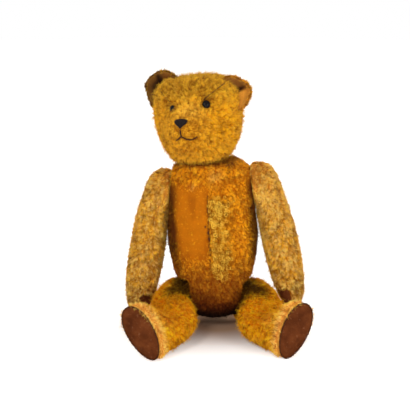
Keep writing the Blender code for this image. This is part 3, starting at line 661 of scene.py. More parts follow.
class Tree:
    """A node tree, with short calls for the nodes that the finishes and the studio share."""

    def __init__(self, tree):
        self.tree = tree

    def link(self, output, socket):
        """Feeds a socket from an output."""
        self.tree.links.new(output, socket)

    def add(self, sort, **values):
        """A new node with its own settings."""
        node = self.tree.nodes.new(sort)
        for key, value in values.items():
            setattr(node, key, value)
        return node

    def place(self, shift=(0, 0, 0)):
        """Object coordinates, shifted."""
        coordinates = self.add("ShaderNodeTexCoord")
        mapping = self.add("ShaderNodeMapping")
        mapping.inputs["Location"].default_value = shift
        self.link(coordinates.outputs["Object"], mapping.inputs["Vector"])
        return mapping.outputs["Vector"]

    def noise(self, scale, detail=3.0, rough=0.5):
        """Cloudy noise from 0 to 1."""
        node = self.add("ShaderNodeTexNoise")
        node.inputs["Scale"].default_value = scale
        node.inputs["Detail"].default_value = detail
        node.inputs["Roughness"].default_value = rough
        self.link(self.place(), node.inputs["Vector"])
        return node.outputs["Fac"]

    def wave(self, scale, direction, distortion):
        """Bands from 0 to 1, across a direction."""
        node = self.add("ShaderNodeTexWave", bands_direction=direction)
        node.inputs["Scale"].default_value = scale
        node.inputs["Distortion"].default_value = distortion
        self.link(self.place(), node.inputs["Vector"])
        return node.outputs["Fac"]

    def ramp(self, value, *stops):
        """A colour for each value: stops are (place, colour as light)."""
        node = self.add("ShaderNodeValToRGB")
        while len(node.color_ramp.elements) < len(stops):
            node.color_ramp.elements.new(0.5)
        for element, (at, colour) in zip(node.color_ramp.elements, stops):
            element.position = at
            element.color = (*colour, 1)
        self.link(value, node.inputs["Fac"])
        return node.outputs["Color"]

    def span(self, value, low, high):
        """A value from 0 to 1 spread between low and high."""
        node = self.add("ShaderNodeMapRange")
        node.inputs["To Min"].default_value = low
        node.inputs["To Max"].default_value = high
        self.link(value, node.inputs["Value"])
        return node.outputs["Result"]

    def maths(self, operation, a, b):
        """Two outputs put together."""
        node = self.add("ShaderNodeMath", operation=operation)
        for socket, value in zip(node.inputs, (a, b)):
            self.link(value, socket)
        return node.outputs["Value"]

    def tint(self):
        """The mesh's own colours."""
        return self.add("ShaderNodeAttribute", attribute_name="tint").outputs["Color"]

    def shade(self, colour, value):
        """A colour made darker or lighter by a value."""
        node = self.add("ShaderNodeVectorMath", operation="SCALE")
        self.link(colour, node.inputs[0])
        self.link(value, node.inputs["Scale"])
        return node.outputs["Vector"]

    def seen(self):
        """1 for what the camera sees, straight or by way of gloss or glass, and 0 for soft light."""
        ray = self.add("ShaderNodeLightPath")
        either = self.maths("MAXIMUM", ray.outputs["Is Camera Ray"], ray.outputs["Is Glossy Ray"])
        return self.maths("MAXIMUM", either, ray.outputs["Is Transmission Ray"])


class Finish(Tree):
    """A material: its principled shader, and what feeds it. The sheen's colour is 0 to 255."""

    def __init__(self, name, roughness, specular, sheen=0.0, sheen_tint=(255, 255, 255), metallic=0.0):
        self.material = bpy.data.materials.new(name)
        self.material.use_nodes = True
        super().__init__(self.material.node_tree)
        self.shader = self.tree.nodes["Principled BSDF"]
        values = {
            "Roughness": roughness,
            "Specular IOR Level": specular,
            "Sheen Weight": sheen,
            "Sheen Roughness": 0.4,
            "Sheen Tint": (*linear(sheen_tint), 1),
            "Metallic": metallic,
        }
        for socket, value in values.items():
            self.shader.inputs[socket].default_value = value

    def colour(self, output):
        """Feeds the shader's colour."""
        self.link(output, self.shader.inputs["Base Color"])

    def bump(self, height, strength, distance):
        """Relief that only turns the light."""
        node = self.add("ShaderNodeBump")
        node.inputs["Strength"].default_value = strength
        node.inputs["Distance"].default_value = distance
        self.link(height, node.inputs["Height"])
        self.link(node.outputs["Normal"], self.shader.inputs["Normal"])


def woven_backing():
    """The cloth that the pile stands on: its own colours from the mesh, threads each way, and soiling."""
    cloth = Finish("woven_backing", 0.85, 0.05, sheen=0.05, sheen_tint=(230, 160, 60))
    threads = cloth.maths("MULTIPLY", cloth.wave(290, "X", 1.5), cloth.wave(290, "Z", 1.5))
    soil = cloth.span(cloth.noise(160, 4), 0.75, 1.22)
    worn = cloth.maths("MULTIPLY", soil, cloth.span(threads, 0.88, 1.12))
    cloth.colour(cloth.shade(cloth.tint(), worn))
    cloth.bump(cloth.maths("ADD", threads, cloth.noise(900, 2)), 0.6, 0.0003)
    return cloth.material


def mohair_pile():
    """Hair: its colours run from root to tip in the mesh, with a low silky shine."""
    hair = Finish("mohair_pile", 0.6, 0.07, sheen=0.06, sheen_tint=(255, 196, 96))
    hair.colour(hair.shade(hair.tint(), hair.span(hair.noise(2600, 2), 0.86, 1.14)))
    return hair.material


def wool_felt(name, dark, light, scratch):
    """Felt: a nap of short fibres, rubbed paler in patches, with fine scratches."""
    felt = Finish(name, 0.9, 0.05, sheen=0.15, sheen_tint=(170, 100, 56))
    fibres = felt.noise(1500, 5, rough=0.7)
    base = felt.ramp(felt.noise(95, 4), (0.30, linear(dark)), (0.72, linear(light)))
    lines = felt.maths("MULTIPLY", felt.wave(70, "DIAGONAL", 14.0), felt.noise(420, 3))
    both = felt.add("ShaderNodeVectorMath", operation="ADD")
    felt.link(felt.shade(base, felt.span(fibres, 0.62, 1.38)), both.inputs[0])
    felt.link(felt.ramp(lines, (0.52, (0, 0, 0)), (0.70, linear(scratch))), both.inputs[1])
    felt.colour(both.outputs["Vector"])
    felt.bump(felt.maths("ADD", fibres, felt.noise(320, 3)), 0.75, 0.0006)
    return felt.material


def ear_velvet():
    """Brown cotton velvet: the mesh's own shades, a fine nap and bruised streaks."""
    velvet = Finish("ear_velvet", 0.85, 0.05, sheen=0.12, sheen_tint=(190, 120, 60))
    velvet.colour(velvet.shade(velvet.tint(), velvet.span(velvet.noise(700, 5, rough=0.7), 0.6, 1.4)))
    velvet.bump(velvet.noise(1300, 4), 0.6, 0.0005)
    return velvet.material


def boot_button():
    """Black boot button: a dark glossy dome with faint wear."""
    button = Finish("boot_button_glass", 0.10, 0.10)
    button.colour(button.ramp(button.noise(420, 3), (0.35, linear((5, 3, 2))), (0.8, linear((26, 14, 8)))))
    button.bump(button.noise(900, 2), 0.06, 0.0001)
    return button.material


def thread(name, dark, light):
    """Cotton thread: twisted plies, dusty on top."""
    ply = Finish(name, 0.55, 0.10, sheen=0.03, sheen_tint=(150, 120, 100))
    ply.colour(ply.ramp(ply.noise(1400, 3), (0.3, linear(dark)), (0.75, linear(light))))
    ply.bump(ply.wave(900, "DIAGONAL", 2.0), 0.5, 0.0002)
    return ply.material


def pressed_card():
    """Card discs: layered grey-brown fibre."""
    card = Finish("pressed_card", 0.85, 0.2)
    card.colour(card.ramp(card.noise(700, 5), (0.3, linear((104, 80, 54))), (0.75, linear((160, 132, 96)))))
    card.bump(card.noise(1200, 3), 0.5, 0.0003)
    return card.material


def dull_steel():
    """Washers and split pins: brushed steel with brown spots."""
    steel = Finish("dull_steel", 0.4, 0.5, metallic=1.0)
    spots, bright = linear((96, 66, 44)), linear((172, 170, 166))
    steel.colour(steel.ramp(steel.noise(500, 4), (0.3, spots), (0.55, bright)))
    steel.link(steel.span(steel.noise(800, 3), 0.3, 0.55), steel.shader.inputs["Roughness"])
    steel.bump(steel.wave(600, "X", 3.0), 0.2, 0.0002)
    return steel.material


# ---------------------------------------------------------------- cloth and pile


def kind(body):
    """What sort of form a body is: torso, head, arm or leg."""
    return body.split("_")[0]


def contact(points, body):
    """1 where a form lies against its neighbour round a joint, fading to 0 a little way off."""
    total = np.zeros(points.shape[:-1])
    for name in JOINTS if body == "torso" else [body]:
        axis = JOINTS[name]["axis"]
        offset = points - JOINTS[name]["centre"]
        along = offset @ axis
        reach = np.linalg.norm(offset - along[..., None] * axis, axis=-1)
        near = ramp(*PRESSED["reach"], reach) * ramp(*PRESSED["depth"], np.abs(along))
        total = np.maximum(total, near)
    return total


def dress(body, place, replaced, look, seed):
    """A stuffed skin: the form drawn in by the pile's depth, with soft lumps, grooves and its colours."""
    points, normals = closed_grid(place, *SKIN_GRIDS[kind(body)])
    near = contact(points, body)
    local = inside(BODY_FRAMES[body], points)
    drawn_in = look.depth(local) - waver(local, LUMP_SIZE, seed, 2 * SETTINGS.lumps)
    lift = -drawn_in * (1 - near) - SEAT_GAP * near
    points = eased(points + normals * lift[..., None], 2)
    points[..., 2] = np.maximum(points[..., 2], SKIN_FLOOR)
    verts, faces = closed_mesh(points)
    tint = look.cloth(inside(BODY_FRAMES[body], verts))
    skin = new_object(body + "_mohair_skin", verts, faces, FINISH["backing"], body, tint)
    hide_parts(*replaced)
    return points, grid_normals(points)


def sown(body, points, normals, cover, count, rng, columns):
    """Random places on a closed grid, as thick on it as the cover says, and their normals."""
    corner = [points[:-1, :-1], points[:-1, 1:], points[1:, 1:], points[1:, :-1]]
    area = np.linalg.norm(np.cross(corner[2] - corner[0], corner[3] - corner[1]), axis=-1) / 2
    weight = area * cover(inside(BODY_FRAMES[body], sum(corner) / 4))
    if columns is not None:
        weight[:, ~columns] = 0
    pick = rng.choice(weight.size, count, p=(weight / weight.sum()).ravel())
    row, column = np.unravel_index(pick, area.shape)
    u, v = rng.random((2, count, 1))

    def between(grid):
        low = grid[row, column] * (1 - v) + grid[row, column + 1] * v
        high = grid[row + 1, column] * (1 - v) + grid[row + 1, column + 1] * v
        return low * (1 - u) + high * u

    return between(points), unit(between(normals))


def combed(comb, normal, wander, number, rng):
    """The nap's way along the cloth and the way across it, turned by the tuft's own number and a
    little at random."""
    lay = unit(comb - normal * (comb * normal).sum(-1, keepdims=True))
    side = np.cross(normal, lay)
    turn = (number * 7.0 % 1 - 0.5)[:, None] * wander + rng.normal(0, 0.35, (len(normal), 1))
    return lay * np.cos(turn) + side * np.sin(turn), side * np.cos(turn) - lay * np.sin(turn)


def grow(name, body, points, normals, count, look, seed, columns=None):
    """Pile on a closed grid. Each hair has two root corners, two at its knee and one tip. It leans
    along the nap, wanders with its tuft and is drawn towards the tuft's middle. A stray hair is
    longer, thinner and more upright, and its tip is paler: a painted glow of light through the fringe."""
    rng = np.random.default_rng(seed)
    count = int(count * SETTINGS.thickness * (1))
    root, normal = sown(body, points, normals, look.cover, count, rng, columns)
    near = contact(root, body)
    local = inside(BODY_FRAMES[body], root)
    style = look.hair(local)
    centre, number = tufts(local, style["tuft"], seed)
    comb = turned(BODY_FRAMES[body], style["comb"])
    lay, side = combed(comb, normal, style["wander"], number, rng)
    stray = rng.random(count) < STRAYS["share"]
    long = style["length"] * np.where(stray, STRAYS["length"], 1.0) * rng.uniform(0.7, 1.15, count)
    long = long * (0.75 + 0.5 * (number * 3.0 % 1)) * (1 - HAIR["pressed"] * near)
    long = long[:, None] * SETTINGS.pile_length / PILE_LENGTH
    rise = np.where(stray, STRAYS["rise"], style["rise"])[:, None] * rng.uniform(0.8, 1.2, (count, 1))
    knee = root + long * HAIR["lower"] * (normal * rise + lay * (1 - 0.45 * rise))
    tip = knee + long * HAIR["upper"] * (normal * rise * HAIR["bend"] + lay)
    tip = tip + side * long * rng.normal(0, 0.22, (count, 1))
    offset = moved(BODY_FRAMES[body], centre) - root
    offset = offset - normal * (offset * normal).sum(-1, keepdims=True)
    gather = np.minimum(1, long / 0.003) * style["gather"]
    knee, tip = knee + offset * gather * 0.35, tip + offset * gather
    twist = rng.normal(0, 0.6, (count, 1))
    width = style["width"] * np.where(stray, STRAYS["width"], 1.0)[:, None]
    half = (side * np.cos(twist) + normal * np.sin(twist)) * (width * rng.uniform(0.75, 1.3, (count, 1)) / 2)
    start, waist = root - normal * HAIR["sunk"], half * HAIR["waist"]
    verts = np.stack([start - half, start + half, knee - waist, knee + waist, tip], 1)
    dark, pale = TUFT_SHADE
    shade = toned(np.clip(dark + (pale - dark) * (number * 11.0 % 1) + rng.normal(0, 0.19, count), 0.35, 1.8))
    root_tint, tip_tint = style["root"] * shade, style["tip"] * shade
    # Stray tips take a painted glow of light through the fringe
    tip_tint = np.where(stray[:, None], style["fuzz"], tip_tint)
    knee_tint = root_tint * 0.25 + tip_tint * 0.75
    tint = np.stack([root_tint, root_tint, knee_tint, knee_tint, tip_tint], 1)
    first = 5 * np.arange(count)[:, None]
    faces = [first + np.array([[0, 1, 3, 2]]), first + np.array([[2, 3, 4]])]
    return lay_pile(name, body, verts, faces, tint)


def grow_halves(body, points, normals, look, seed):
    """A form's pile in two pieces, front and back, so that neither is too heavy."""
    angle = np.linspace(-math.pi, math.pi, points.shape[1])
    front = (angle[:-1] + angle[1:]) / 2 < 0
    grow(body + "_pile_front", body, points, normals, PILE_COUNTS[body], look, seed, front)
    grow(body + "_pile_back", body, points, normals, PILE_COUNTS[body], look, seed + 1, ~front)


def curl(body, points, normals, look, seed):
    """Curled locks: ribbons on a rising helix, whose radius shrinks and whose colour pales to the tip."""
    rng = np.random.default_rng(seed)
    count = CURL_COUNTS[kind(body)]
    root, normal = sown(body, points, normals, look.curled, count, rng, None)
    near = contact(root, body)[:, None, None]
    style = look.hair(inside(BODY_FRAMES[body], root))
    side = unit(np.cross(normal, rng.normal(size=(count, 3))))
    lay = np.cross(normal, side)
    root, normal, side, lay = (v[:, None] for v in (root, normal, side, lay))
    size = style["curl"][:, None, None] * rng.uniform(0.7, 1.3, (count, 1, 1)) * (1 - 0.7 * near)
    t = np.linspace(0, 1, CURL_STEPS)[None, :, None]
    way = np.where(rng.random((count, 1, 1)) < 0.5, -1, 1)
    a = way * TAU * rng.uniform(0.7, 1.5, (count, 1, 1)) * t + rng.uniform(0, TAU, (count, 1, 1))
    rise = size * rng.uniform(0.9, 1.5, (count, 1, 1)) * (0.25 + t)
    path = root + normal * rise + (side * np.cos(a) + lay * np.sin(a)) * (size * (1 - 0.5 * t))
    wide = unit(np.cross(np.gradient(path, axis=1), normal + side * rng.normal(0, 0.5, (count, 1, 1))))
    half = wide * size * 0.15 * (1 - 0.55 * t)
    verts = np.stack([path - half, path + half], 2)
    shade = rng.uniform(0.80, 1.45, (count, 1, 1)) * (0.70 + 0.5 * t)
    tint = np.repeat((style["lock"][:, None] * shade)[:, :, None], 2, 2)
    step = 2 * np.arange(CURL_STEPS - 1)[None, :, None]
    first = 2 * CURL_STEPS * np.arange(count)[:, None, None]
    faces = (first + step + np.array([[[0, 1, 3, 2]]])).reshape(-1, 4)
    return lay_pile(body + "_curls", body, verts, [faces], tint)


def lay_pile(name, body, verts, faces, tint):
    """Hairs as one piece, kept off the floor. A colour brighter than light allows is dimmed whole,
    so that it keeps its hue."""
    verts[..., 2] = np.maximum(verts[..., 2], PILE_FLOOR)
    tint = np.maximum(tint.reshape(-1, 3), 0)
    tint = tint / np.maximum(tint.max(-1, keepdims=True), 1)
    pile = new_object(name, verts.reshape(-1, 3), faces, FINISH["pile"], body, tint)
    return pile


class Look:
    """What a form's cloth and pile are like at each point p of its own frame. Named colours are
    0 to 255; a gain or a streak is one number for each of red, green and blue or of X, Y and Z."""

    seed = 0
    # The fuzz colour on stray hairs is a painted glow of light through the fringe
    blond, fuzz, speckle = (228, 160, 38), (248, 198, 66), (96, 52, 14)
    browner = np.array([0.62, 0.50, 0.40])
    backing = np.array([0.90, 0.67, 0.46])
    streak = np.array([1.0, 1.0, 0.45])

    def depth(self, p):
        """How far the cloth lies inside the form."""
        return np.full(p.shape[:-1], SETTINGS.pile_depth)

    def cover(self, p):
        """How thick the pile stands."""
        return np.ones(p.shape[:-1])

    def curled(self, p):
        """How thick the curled locks stand."""
        return ramp(0.50, 0.68, clouds(p, 0.009, self.seed + 30)) + 0.12

    def blonding(self, p):
        """How far the brightest tufts turn blond."""
        return np.full(len(p), 0.8)

    def mottled(self, p, base, strength):
        """A base colour with browner and blonder patches, and dark specks."""
        dark = ramp(0.54, 0.72, clouds(p, 0.012, self.seed))
        pale = ramp(0.54, 0.72, clouds(p, 0.010, self.seed + 20))
        speck = ramp(0.64, 0.78, clouds(p, 0.0042, self.seed + 40))
        base = mix(base, base * self.browner, dark * strength)
        base = dyed(base, self.blond, pale * strength * 0.75)
        return dyed(base, self.speckle, speck * strength * 0.8)

    def cloth(self, p):
        """The woven ground's colour."""
        return self.colour(p) * self.backing

    def hair(self, p):
        """A hair's sizes, way and colours, with fine streaks that turn blonder, browner and darker."""
        n = len(p)
        bright = ramp(0.54, 0.70, clouds(p * self.streak, 0.0021, self.seed + 60)) * 0.8
        dull = ramp(0.50, 0.72, clouds(p * self.streak, 0.0024, self.seed + 80))
        clump = ramp(0.32, 0.68, clouds(p, 0.0052, self.seed + 90))
        base = self.colour(p) * toned(1.18 - 0.45 * dull) * toned(0.78 + 0.44 * clump)
        blond = self.blonding(p)
        tip = mix(base * TIP_GAIN, linear(self.blond) * TIP_GAIN, bright * blond)
        return {
            "length": np.full(n, 0.0040),
            "rise": np.full(n, 0.74),
            "tuft": 0.0030,
            "wander": 2.4,
            "gather": 0.40,
            "width": 0.00050,
            "comb": np.tile([0.0, 0.0, -1.0], (n, 1)),
            "curl": np.full(n, 0.0011),
            "tip": tip,
            # Stray tips: a painted glow of light through the fringe
            "fuzz": dyed(tip, self.fuzz, 0.8 * blond),
            "lock": tip * 1.1,
            # Roots: painted shade and bounced light deep in the pile
            "root": base * ROOT_GAIN,
        }


class TorsoLook(Look):
    """Rubbed bare beside the front seam, curly and pale on its other side, and dark below with painted shade.
    """

    seed = 31
    # The low, lap and crease colours are painted shade where the belly turns under; the side colour is
    # painted shade of the arms over darker cloth
    gold, back_gold, low_gold = (214, 132, 14), (184, 114, 26), (150, 74, 8)
    soil, lap, crease, neck = (66, 24, 5), (84, 28, 5), (20, 5, 2), (128, 64, 22)
    under_curls, bleached = (156, 84, 8), (208, 160, 92)
    weave, back_weave, curly_weave = (186, 100, 8), (168, 94, 18), (112, 56, 6)
    bald, bald_shade = (194, 108, 9), (172, 91, 7)
    # The hole colour is painted shade inside the tears
    seam_shade, hole = (84, 38, 10), (26, 9, 3)
    lock_gain = linear((255, 206, 70)) * 1.6
    # Each tear's place across and up, and its size
    tears = (
        (-0.0040, 0.1180, 0.0013),
        (-0.0012, 0.1112, 0.0020),
        (-0.0010, 0.1050, 0.0016),
        (0.0004, 0.0930, 0.0010),
    )
    # Paler patches under the chin: centre and spread
    patches = (
        ((0.008, -0.028, 0.170), (0.006, 0.02, 0.006)),
        ((-0.016, -0.03, 0.159), (0.004, 0.02, 0.004)),
    )

    def front(self, p):
        """1 on the chest and belly, 0 behind."""
        return ramp(0.004, -0.008, p[..., 1])

    def bare(self, p):
        """The bald patch on the right of the seam, from the belly to the chest."""
        x, z = p[..., 0], p[..., 2]
        edge = waver(p, 0.012, 3, 0.016) + waver(p, 0.004, 4, 0.006)
        wide = ramp(0.0026, -0.0042, x + edge * 0.55) * ramp(-0.045, -0.033, x + edge)
        return self.front(p) * wide * ramp(0.070, 0.092, z + edge) * ramp(0.171, 0.150, z + edge)

    def curly(self, p):
        """The curly patch on the left of the seam, which widens a little with height."""
        x, z = p[..., 0], p[..., 2]
        edge = waver(p, 0.009, 9, 0.014) + waver(p, 0.003, 19, 0.008)
        wide = ramp(-0.0005, 0.0030, x + edge * 0.3) * ramp(0.026, 0.017, x + edge - 0.05 * (z - 0.1))
        return self.front(p) * wide * ramp(0.050, 0.068, z + edge) * ramp(0.152, 0.142, z + edge)

    def seam(self, p, width=0.0011):
        """The front and the back seam, down the middle, that wander a little."""
        wander = (cloud(p * [0, 1, 1], 0.012, 15) - 0.5) * 0.0016
        tight = 0.35 + 0.65 * ramp(0.40, 0.62, cloud(p * [0, 1, 1], 0.011, 16))
        ends = ramp(0.060, 0.076, p[..., 2]) * ramp(0.152, 0.144, p[..., 2])
        behind = ramp(-0.01, 0.01, p[..., 1]) * ramp(0.012, 0.022, p[..., 2])
        return np.exp(-(((p[..., 0] - wander) / width) ** 2)) * np.clip(ends * tight + behind, 0, 1)

    def torn(self, p):
        """Small holes along the front seam, longer than they are wide."""
        spots = (spot(p[..., [0, 2]], (x, z), (size * 0.6, size)) for x, z, size in self.tears)
        return np.clip(sum(spots) * 1.4, 0, 1) * self.front(p)

    def flank(self, p):
        """The sides' darker strips, in front of the arms: painted shade of the arms over darker cloth."""
        x, z = p[..., 0], p[..., 2]
        strip = ramp(0.0, 0.0085, np.where(x > 0, x - 0.0365, -x - 0.0305) + waver(p, 0.014, 44, 0.006))
        return strip * ramp(0.172, 0.152, z) * ramp(0.03, 0.01, p[..., 1])

    def depth(self, p):
        worn = 0.0006 * (1 - self.curly(p)) + 0.0006 * self.bare(p)
        return SETTINGS.pile_depth - worn + 0.0008 * self.seam(p, 0.0014) + 0.0012 * self.torn(p)

    def cover(self, p):
        thin = 0.62 + 0.38 * np.maximum(self.curly(p), ramp(0.160, 0.172, p[..., 2]))
        thin = np.maximum(thin, 0.85 * ramp(0.0, 0.015, p[..., 1]))
        return thin * (1 - 0.93 * self.bare(p)) * (1 - 0.9 * self.seam(p, 0.0008)) * (1 - self.torn(p))

    def curled(self, p):
        return self.curly(p) * (1 - self.torn(p)) + 0.06 * self.front(p) + 0.02

    def blonding(self, p):
        # Fewer blond tips low down and on the sides' painted shade
        return 0.45 * ramp(0.026, 0.080, p[:, 2]) * (1 - 0.9 * self.flank(p))

    def shade(self, p, base):
        """Painted shade round the sides, from the arms, and below, where the belly turns under between the
        thighs; the gathered neck is darker with its seam.
        """
        z = p[..., 2]
        low = z + waver(p, 0.014, 44, 0.018)
        # Painted shade of the arms along the sides, over their darker cloth
        base = dyed(base, self.soil, self.flank(p) * 0.92)
        # Painted shade where the belly turns under, deepening between the thighs and nearly black at the
        # bottom
        base = dyed(base, self.low_gold, ramp(0.090, 0.056, low) * self.front(p) * 0.9)
        base = dyed(base, self.lap, ramp(0.056, 0.026, low) * 0.9)
        base = dyed(base, self.crease, ramp(0.036, 0.016, z))
        return dyed(base, self.neck, ramp(0.1765, 0.1815, z) * 0.8)

    def colour(self, p):
        base = dyed(linear(self.gold), self.back_gold, ramp(0.0, 0.02, p[..., 1]))
        base = self.mottled(p, base, 0.38)
        base = dyed(base, self.under_curls, self.curly(p) * 0.9)
        pale = sum(spot(p, *patch) for patch in self.patches)
        return self.shade(p, dyed(base, self.bleached, np.clip(pale, 0, 1) * 0.4))

    def cloth(self, p):
        base = dyed(linear(self.weave), self.back_weave, ramp(0.0, 0.02, p[..., 1]))
        threads = ramp(0.40, 0.66, clouds(p * [1, 1, 0.4], 0.008, 77))
        base = mix(base, dyed(linear(self.bald), self.bald_shade, threads), self.bare(p))
        base = self.shade(p, dyed(base, self.curly_weave, self.curly(p) * 0.9))
        base = dyed(base, self.seam_shade, self.seam(p, 0.0007) * 0.9)
        # Painted shade inside the tears
        return dyed(base, self.hole, self.torn(p))

    def hair(self, p):
        style = super().hair(p)
        bare, curly = self.bare(p), self.curly(p)
        top = ramp(0.160, 0.172, p[:, 2])
        style["length"] = 0.0030 + 0.0010 * curly + 0.0006 * top - 0.0019 * bare
        style["rise"] = 0.64 + 0.12 * curly
        style["gather"] = (0.50 + 0.25 * curly)[:, None]
        style["width"] = (0.00044 + 0.00006 * curly - 0.00014 * bare)[:, None]
        style["curl"] = 0.0010 + 0.0009 * curly
        style["lock"] = mix(style["tip"], self.lock_gain, curly * 0.85)
        return style


class HeadLook(Look):
    """Clipped on the snout and round the eyes, thicker on the cheeks, crown and back."""

    seed = 51
    gold, back_gold, crown = (206, 134, 20), (190, 126, 36), (158, 106, 26)
    # The brow colour is a painted highlight on the bridge, and the chin colour painted shade under the snout
    cheek, muzzle, brow, chin = (212, 140, 6), (204, 138, 30), (222, 166, 62), (196, 118, 14)
    # The socket colour is painted shade in the eyes' hollows
    socket, neck = (118, 62, 12), (134, 66, 20)
    backing = np.array([0.72, 0.62, 0.52])

    def snout(self, p):
        """The clipped muzzle."""
        return spot(p, (0.0, -0.058, 0.042), (0.021, 0.024, 0.019))

    def bridge(self, p):
        """The paler strip between the eyes, down to the nose: a painted highlight along the ridge."""
        return spot(p, (0.006, -0.052, 0.058), (0.013, 0.022, 0.007))

    def sockets(self, p):
        """The clipped hollows round the eyes, darkened with painted shade."""
        near = (spot(p[..., [0, 2]], place, (0.0066, 0.0062)) for place in EYES.values())
        return np.clip(sum(near) * ramp(0.0, -0.02, p[..., 1]), 0, 1)

    def mouth(self, p):
        """Near the mouth's thread, where the pile is clipped away."""
        x, z, half = p[..., 0], p[..., 2], MOUTH["reach"]
        line = mouth_height(np.clip(x / half, -1, 1))
        smile = np.exp(-(((z - line) / 0.0016) ** 2)) * ramp(half + 0.002, half, np.abs(x))
        stem = np.exp(-((x / 0.0016) ** 2)) * ramp(MOUTH["at"] - 0.002, MOUTH["at"], z)
        stem = stem * ramp(NOSE["at"], NOSE["at"] - 0.004, z)
        return np.clip(smile + stem, 0, 1) * ramp(-0.02, -0.04, p[..., 1])

    def gusset(self, p, width=0.0010):
        """Two seams: beside the nose, past the inner corner of the eye, then out over the brow."""
        x, z = np.abs(p[..., 0]), p[..., 2]
        strong = 0.35 + 0.65 * ramp(0.064, 0.068, z)
        return np.exp(-(((x - gusset_line(z)) / width) ** 2)) * ramp(0.050, 0.058, z) * strong

    def depth(self, p):
        short = np.clip(self.snout(p) + self.sockets(p), 0, 1)
        return SETTINGS.pile_depth - 0.0008 * short + 0.0007 * self.gusset(p) + 0.0008 * self.sockets(p)

    def cover(self, p):
        return (1 - 0.75 * self.gusset(p, 0.0008)) * (1 - 0.75 * self.mouth(p))

    def curled(self, p):
        thick = super().curled(p) * (1 - self.mouth(p)) * (1 - self.sockets(p))
        return thick * (1 - 0.8 * self.gusset(p, 0.002))

    def colour(self, p):
        y, z = p[..., 1], p[..., 2]
        base = dyed(linear(self.gold), self.back_gold, ramp(-0.01, 0.02, y))
        base = self.mottled(p, base, 0.48)
        base = dyed(base, self.crown, ramp(0.060, 0.074, z + waver(p, 0.012, 5, 0.02)) * 0.65)
        base = dyed(base, self.cheek, spot(p, (0.032, -0.028, 0.036), (0.020, 0.024, 0.024)) * 0.8)
        base = dyed(base, self.muzzle, self.snout(p) * 0.8)
        # Painted highlight along the bridge
        base = dyed(base, self.brow, self.bridge(p) * 0.7)
        # Painted shade under the snout
        base = dyed(base, self.chin, spot(p, (0.0, -0.052, 0.020), (0.026, 0.024, 0.010)) * 0.7)
        # Painted shade in the hollows round the eyes
        base = dyed(base, self.socket, self.sockets(p) * 0.8)
        return dyed(base, self.neck, ramp(0.010, 0.002, z) * 0.8)

    def cloth(self, p):
        base = super().cloth(p)
        return mix(base, base * 0.25, self.gusset(p, 0.0009))

    def hair(self, p):
        style = super().hair(p)
        short = np.clip(self.snout(p) * 1.1 + self.sockets(p) * 1.3, 0, 1)
        style["length"] = (0.0041 - 0.0023 * short) * (1 - 0.45 * self.mouth(p))
        style["width"] = (0.00050 - 0.00010 * short)[:, None]
        style["gather"] = (0.60 - 0.35 * short)[:, None]
        style["comb"] = p - np.array([0.0, -0.075, 0.052])
        style["curl"] = 0.0011 - 0.0004 * short
        return style


class ArmLook(Look):
    """Mottled blond and brown, paler at the shoulder and browner at the paw."""

    # The fuzz colour is a painted glow of light through the fringe
    blond, fuzz = (234, 184, 92), (250, 212, 124)
    gold, shoulder, paw = (204, 138, 38), (222, 164, 70), (146, 88, 26)
    shoulder_share = {"left": 0.45, "right": 0.12}

    def __init__(self, name):
        self.name, self.seed = name, 61 if name == "left" else 171

    def colour(self, p):
        base = self.mottled(p, linear(self.gold), 0.62)
        upper = ramp(-0.060, -0.015, p[..., 2] + waver(p, 0.02, 8, 0.03))
        base = dyed(base, self.shoulder, upper * self.shoulder_share[self.name])
        return dyed(base, self.paw, ramp(-0.085, -0.120, p[..., 2]) * 0.6)

    def cover(self, p):
        return 1 - on_paw_pad(self.name, p)

    def curled(self, p):
        return super().curled(p) * (1 - on_paw_pad(self.name, p, 0.002))

    def blonding(self, p):
        return np.full(len(p), 1.0)


